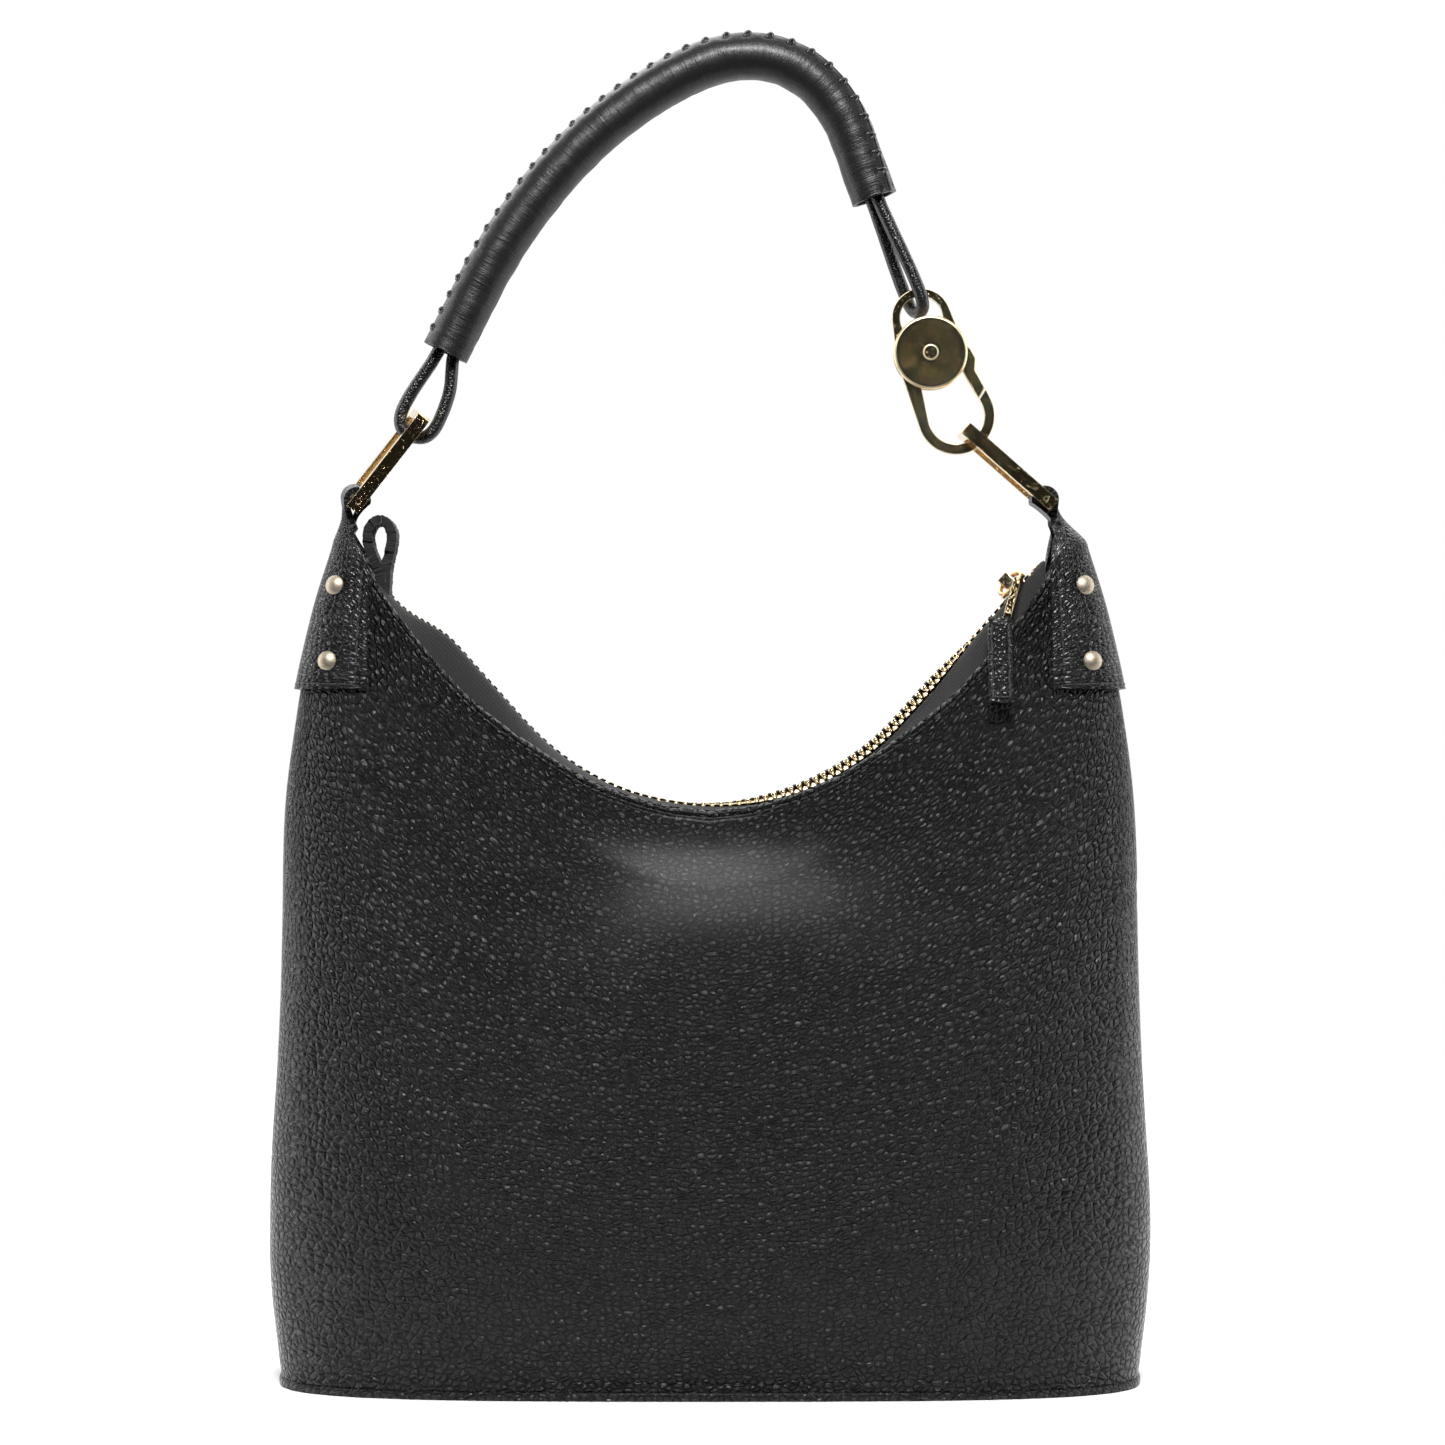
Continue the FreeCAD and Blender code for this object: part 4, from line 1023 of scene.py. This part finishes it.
def cord_loop(name, line, flat):
    """Round cord along a line that lies in one plane."""
    steps = len(line) - 1
    run = [0.0]
    for a, b in zip(line, line[1:]):
        run.append(run[-1] + (b - a).length)

    def corner(i, j):
        ahead = (line[min(j + 1, steps)] - line[max(j - 1, 0)]).normalized()
        side = ahead.cross(flat)
        angle = 2 * math.pi * i / 20
        ridge = 1 + 0.02 * noise.noise(Vector((run[j] * 260, math.cos(angle), math.sin(angle))))
        crease = 1 - 0.05 * math.exp(-((angle - 2.1) / 0.16) ** 2)
        at = line[j] + (flat * math.cos(angle) + side * math.sin(angle)) * (cord_radius * ridge * crease)
        return at, (angle * cord_radius, run[j])
    cord = patch(name, 20, steps, corner, closed=True)
    edit(cord, lambda: bpy.ops.mesh.select_all(action="DESELECT"),
         lambda: bpy.ops.mesh.select_non_manifold(), lambda: bpy.ops.mesh.edge_face_add(),
         lambda: bpy.ops.mesh.select_all(action="SELECT"),
         lambda: bpy.ops.mesh.normals_make_consistent(inside=False))
    only(cord)
    bpy.ops.object.shade_smooth_by_angle(angle=math.radians(60))
    return cord


def hanging(start, across, down, inward, marks):
    """Guide points from marks, across and down from the sleeve's end in mm.

    Marks above that end lie along the sleeve."""
    points = []
    for a, d in marks:
        along = down * (d / 1000) if d >= 0 else inward * (-d / 1000)
        points.append(start + across * (a / 1000) + along)
    return points


left_marks = [(-2.2, -16), (-2.2, -9), (-2.25, -3.5), (-2.5, 0.5), (-4.0, 5), (-5.7, 10), (-6.3, 15.5),
              (-6.3, 21), (-5.8, 25.2), (-3.6, 28.2), (0, 29.0), (3.6, 28.2), (5.7, 25.2), (6.0, 21),
              (5.3, 15.5), (4.2, 10), (3.1, 5), (2.5, 0.5), (2.25, -3.5), (2.2, -9), (2.2, -16)]
left_line = curve_line(hanging(left_end, aim(157.5), aim(-112.5), aim(63.1), left_marks), 6)
left_cord = cord_loop("left_cord_loop", left_line, Vector((0, 1, 0)))
fit(left_cord, cord_leather, "handle", "cord_leather", "cord_loop_left")
right_marks = [(-2.25, -16), (-2.25, -9), (-2.25, -3), (-2.4, 3), (-3.2, 10), (-4.2, 18), (-5.0, 25),
               (-5.3, 31), (-5.2, 35.2), (-3.6, 38.4), (0, 39.2), (3.6, 38.4), (5.2, 35.2), (5.3, 31),
               (5.0, 25), (4.2, 18), (3.2, 10), (2.4, 3), (2.25, -3), (2.25, -9), (2.25, -16)]
handle_bends = [(0.105, 0.0), (0.228, 14.5), (0.238, 21.0), (0.067, 13.0),
                (0.052, 17.0), (0.124, 46.0), (0.090, 22.0), (0.096, 0.0)]
handle_length, handle_heading = 0.2071, 63.1


def handle_at(s):
    """Point of the handle's line and its heading, s from its left end."""
    at, heading = left_end.copy(), handle_heading
    for share, turn in handle_bends:
        run = handle_length * share
        part = min(1.0, s / run)
        chord = run * part
        if turn:
            half = math.radians(turn * part / 2)
            chord *= math.sin(half) / half if half > 0 else 1.0
        at = at + aim(heading - turn * part / 2) * chord
        heading -= turn * part
        if s <= run:
            break
        s -= run
    return at, heading


right_heading = handle_at(handle_length)[1]
right_down = (Vector((0.064866, 0, 0.346321)) - right_end).normalized()
right_across = Matrix.Rotation(math.radians(-22), 3, right_down) @ Vector((0, 1, 0))
right_guide = hanging(right_end, right_across, right_down, aim(right_heading + 180), right_marks)
right_line = curve_line(right_guide, 6)
right_cord = cord_loop("right_cord_loop", right_line, right_down.cross(right_across).normalized())
fit(right_cord, cord_leather, "handle", "cord_leather", "cord_loop_right")

# ---- handle sleeve ----
# A strip of shiny leather rolled round a rope core and laced shut down its outer edge. The roll
# pulls it into fine ripples across, and the lacing comes round to the front at the right end.
lace_pitch = 0.0059
lace_margin = 0.005


def sleeve_look(wire):
    uv = wire.node("TexCoord", {}, {}, "UV")
    off = wire.node("SeparateXYZ", {}, {0: uv})
    run = wire.node("SeparateXYZ", {}, {0: uv}, 1)
    across = wire.node("Mapping", {}, {"Vector": uv, "Scale": (110.0, 2300.0, 1.0)})
    ripple = wire.node("TexNoise", {}, {"Vector": across, "Scale": 1.0, "Detail": 3.0, "Distortion": 0.5}, 0)
    coarse = wire.node("Mapping", {}, {"Vector": uv, "Scale": (110.0, 420.0, 1.0)})
    fold = wire.node("TexNoise", {}, {"Vector": coarse, "Scale": 1.0, "Detail": 2.0}, 0)
    pore = wire.node("TexVoronoi", {"voronoi_dimensions": "2D"}, {"Vector": uv, "Scale": 1300.0}, 0)
    gap = wire.node("Math", {"operation": "ABSOLUTE"}, {0: off})
    step = (run - lace_margin) * (1 / lace_pitch) + 40.5
    place = wire.node("Math", {"operation": "FRACT"}, {0: step}) - 0.5
    dx, dy = (gap - 0.0023) * (1 / 0.0007), place * (lace_pitch / 0.0011)
    hole = 1 - (dx * dx + dy * dy).between(0.45, 1.35)
    slit = 1 - gap.between(0.00012, 0.00042)
    height = ripple * 0.55 + fold * 0.8 + pore * 0.12 - hole * 2.6 - slit * 1.4
    bump = wire.node("Bump", {}, {"Distance": 0.00032, "Height": height}, "Normal")
    # The lace holes and the slit of the join are painted dark, painted shade where they go into the sleeve;
    # the hollows of the folds are painted darker too, as painted shade, and the roughness is real.
    dark = (hole + slit * 0.8).between(0.1, 0.9)
    tone = dark * 0.9 + (0.5 - fold) * 0.3
    return {"Base Color": tone.tint((0.009, 0.009, 0.0093), (0.001, 0.001, 0.001)),
            "Roughness": 0.36 + ripple * 0.14 + dark * 0.4, "Normal": bump}


handle_leather = finish("handle_leather", sleeve_look, Specular_IOR_Level=0.4, Coat_Weight=0.08,
                        Coat_Roughness=0.25)
sleeve_radius = 0.0061
sleeve_rows, sleeve_round = 330, 56


def lace_roll(s):
    """How far the laced edge has come round to the front, in radians."""
    return math.radians(48.0 * max(0.0, (s / handle_length - 0.55) / 0.45))


def sleeve_corner(i, j):
    s = handle_length * j / sleeve_rows
    at, heading = handle_at(s)
    out, ahead = aim(heading + 90), aim(heading)
    angle = math.pi * (2 * i / sleeve_round - 1)
    turned = angle + lace_roll(s)
    ring = out * math.cos(turned) + Vector((0, -1, 0)) * math.sin(turned)
    off = angle * sleeve_radius
    ridge = 0.00032 * math.exp(-((abs(off) - 0.0007) / 0.0008) ** 2)
    ridge -= 0.0003 * math.exp(-(off / 0.0003) ** 2)
    ripple = 0.00005 * noise.noise(Vector((s * 700, angle * 1.2, 0)))
    ripple += 0.0002 * noise.noise(Vector((s * 160, angle, 5)))
    tug = -0.00012 * math.cos(2 * math.pi * (s - lace_margin) / lace_pitch)
    tug *= math.exp(-((abs(off) - 0.002) / 0.0013) ** 2)
    end = min(s, handle_length - s)
    flare = 0.0001 * math.exp(-end / 0.002)
    return at + ring * (sleeve_radius + ridge + ripple + tug + flare - 0.0001), (off, s)


sleeve = patch("handle_sleeve_leather", sleeve_round, sleeve_rows, sleeve_corner, closed=True)
wall(sleeve, 0.0013, 0.00035, turn=True, angle=50)
fit(sleeve, handle_leather, "handle", "handle_leather", "handle_sleeve")


def rope_look(wire):
    at = wire.node("TexCoord", {}, {}, "Object")
    lay = wire.node("TexWave", {"bands_direction": "DIAGONAL"},
                    {"Vector": at, "Scale": 160.0, "Distortion": 1.5}, 1)
    bump = wire.node("Bump", {}, {"Distance": 0.0004, "Height": lay}, "Normal")
    # Its colour follows the lay: painted shade in the grooves between the strands.
    return {"Base Color": lay.tint((0.18, 0.15, 0.11), (0.42, 0.37, 0.28)), "Roughness": 0.75 + lay * 0.1,
            "Normal": bump}


core_rope = finish("core_rope", rope_look)
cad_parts["handle_core"].data.materials.clear()
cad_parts["handle_core"].data.materials.append(core_rope)

# ---- lacing ----
# Waxed round thong that whips the two edges of the sleeve together. Each stitch comes up through
# one hole, crosses the join at a slant over the one before and goes down through the hole opposite.
bpy.ops.object.select_all(action="DESELECT")
bpy.ops.mesh.primitive_torus_add(major_segments=20, minor_segments=8, major_radius=0.0021,
                                 minor_radius=0.00058, rotation=(math.pi / 2, 0, math.pi / 2))
thong = bpy.context.object
bpy.ops.object.transform_apply(rotation=True)
edit(thong, lambda: bpy.ops.mesh.bisect(plane_co=(0, 0, 0.0002), plane_no=(0, 0, 1), clear_inner=True,
                                        use_fill=True),
     lambda: bpy.ops.transform.resize(value=(1.0, 1.12, 0.62)))
second = thong.copy()
second.data = thong.data.copy()
scene.collection.objects.link(second)
second.data.transform(Matrix.Translation((0.0007, 0.0, 0.00026)) @ Matrix.Rotation(math.radians(34), 4, "Z")
                      @ Matrix.Diagonal((1.0, 0.86, 1.0, 1.0)))
thong.data.transform(Matrix.Rotation(math.radians(-14), 4, "Z"))
only(thong, second)
bpy.ops.object.join()
thong = bpy.context.object
lace_count = int((handle_length - 2 * lace_margin) / lace_pitch)
places = []
for k in range(lace_count + 1):
    s = lace_margin + k * lace_pitch
    at, heading = handle_at(s)
    roll = lace_roll(s)
    out = aim(heading + 90) * math.cos(roll) + Vector((0, -1, 0)) * math.sin(roll)
    wander = math.radians(10 * noise.noise(Vector((k * 2.3, 0, 0))))
    place = frame_at(at + out * (sleeve_radius - 0.00045), aim(heading), out)
    places.append(place @ Matrix.Rotation(wander, 4, "Z"))
lacing = copies("handle_lacing_thong", thong, places)
bpy.data.objects.remove(thong)


def thong_look(wire):
    at = wire.node("TexCoord", {}, {}, "Object")
    wax = wire.node("TexNoise", {}, {"Vector": at, "Scale": 1500.0, "Detail": 4.0}, 0)
    bump = wire.node("Bump", {}, {"Distance": 0.00009, "Height": wax}, "Normal")
    return {"Base Color": wax.tint((0.006, 0.006, 0.007), (0.02, 0.02, 0.021)),
            "Roughness": 0.36 + wax * 0.25, "Normal": bump}


lacing_thong = finish("lacing_thong", thong_look, Coat_Weight=0.2, Coat_Roughness=0.3)
fit(lacing, lacing_thong, "handle", "cord_leather", "handle_lacing")
bpy.data.objects.remove(stitch)
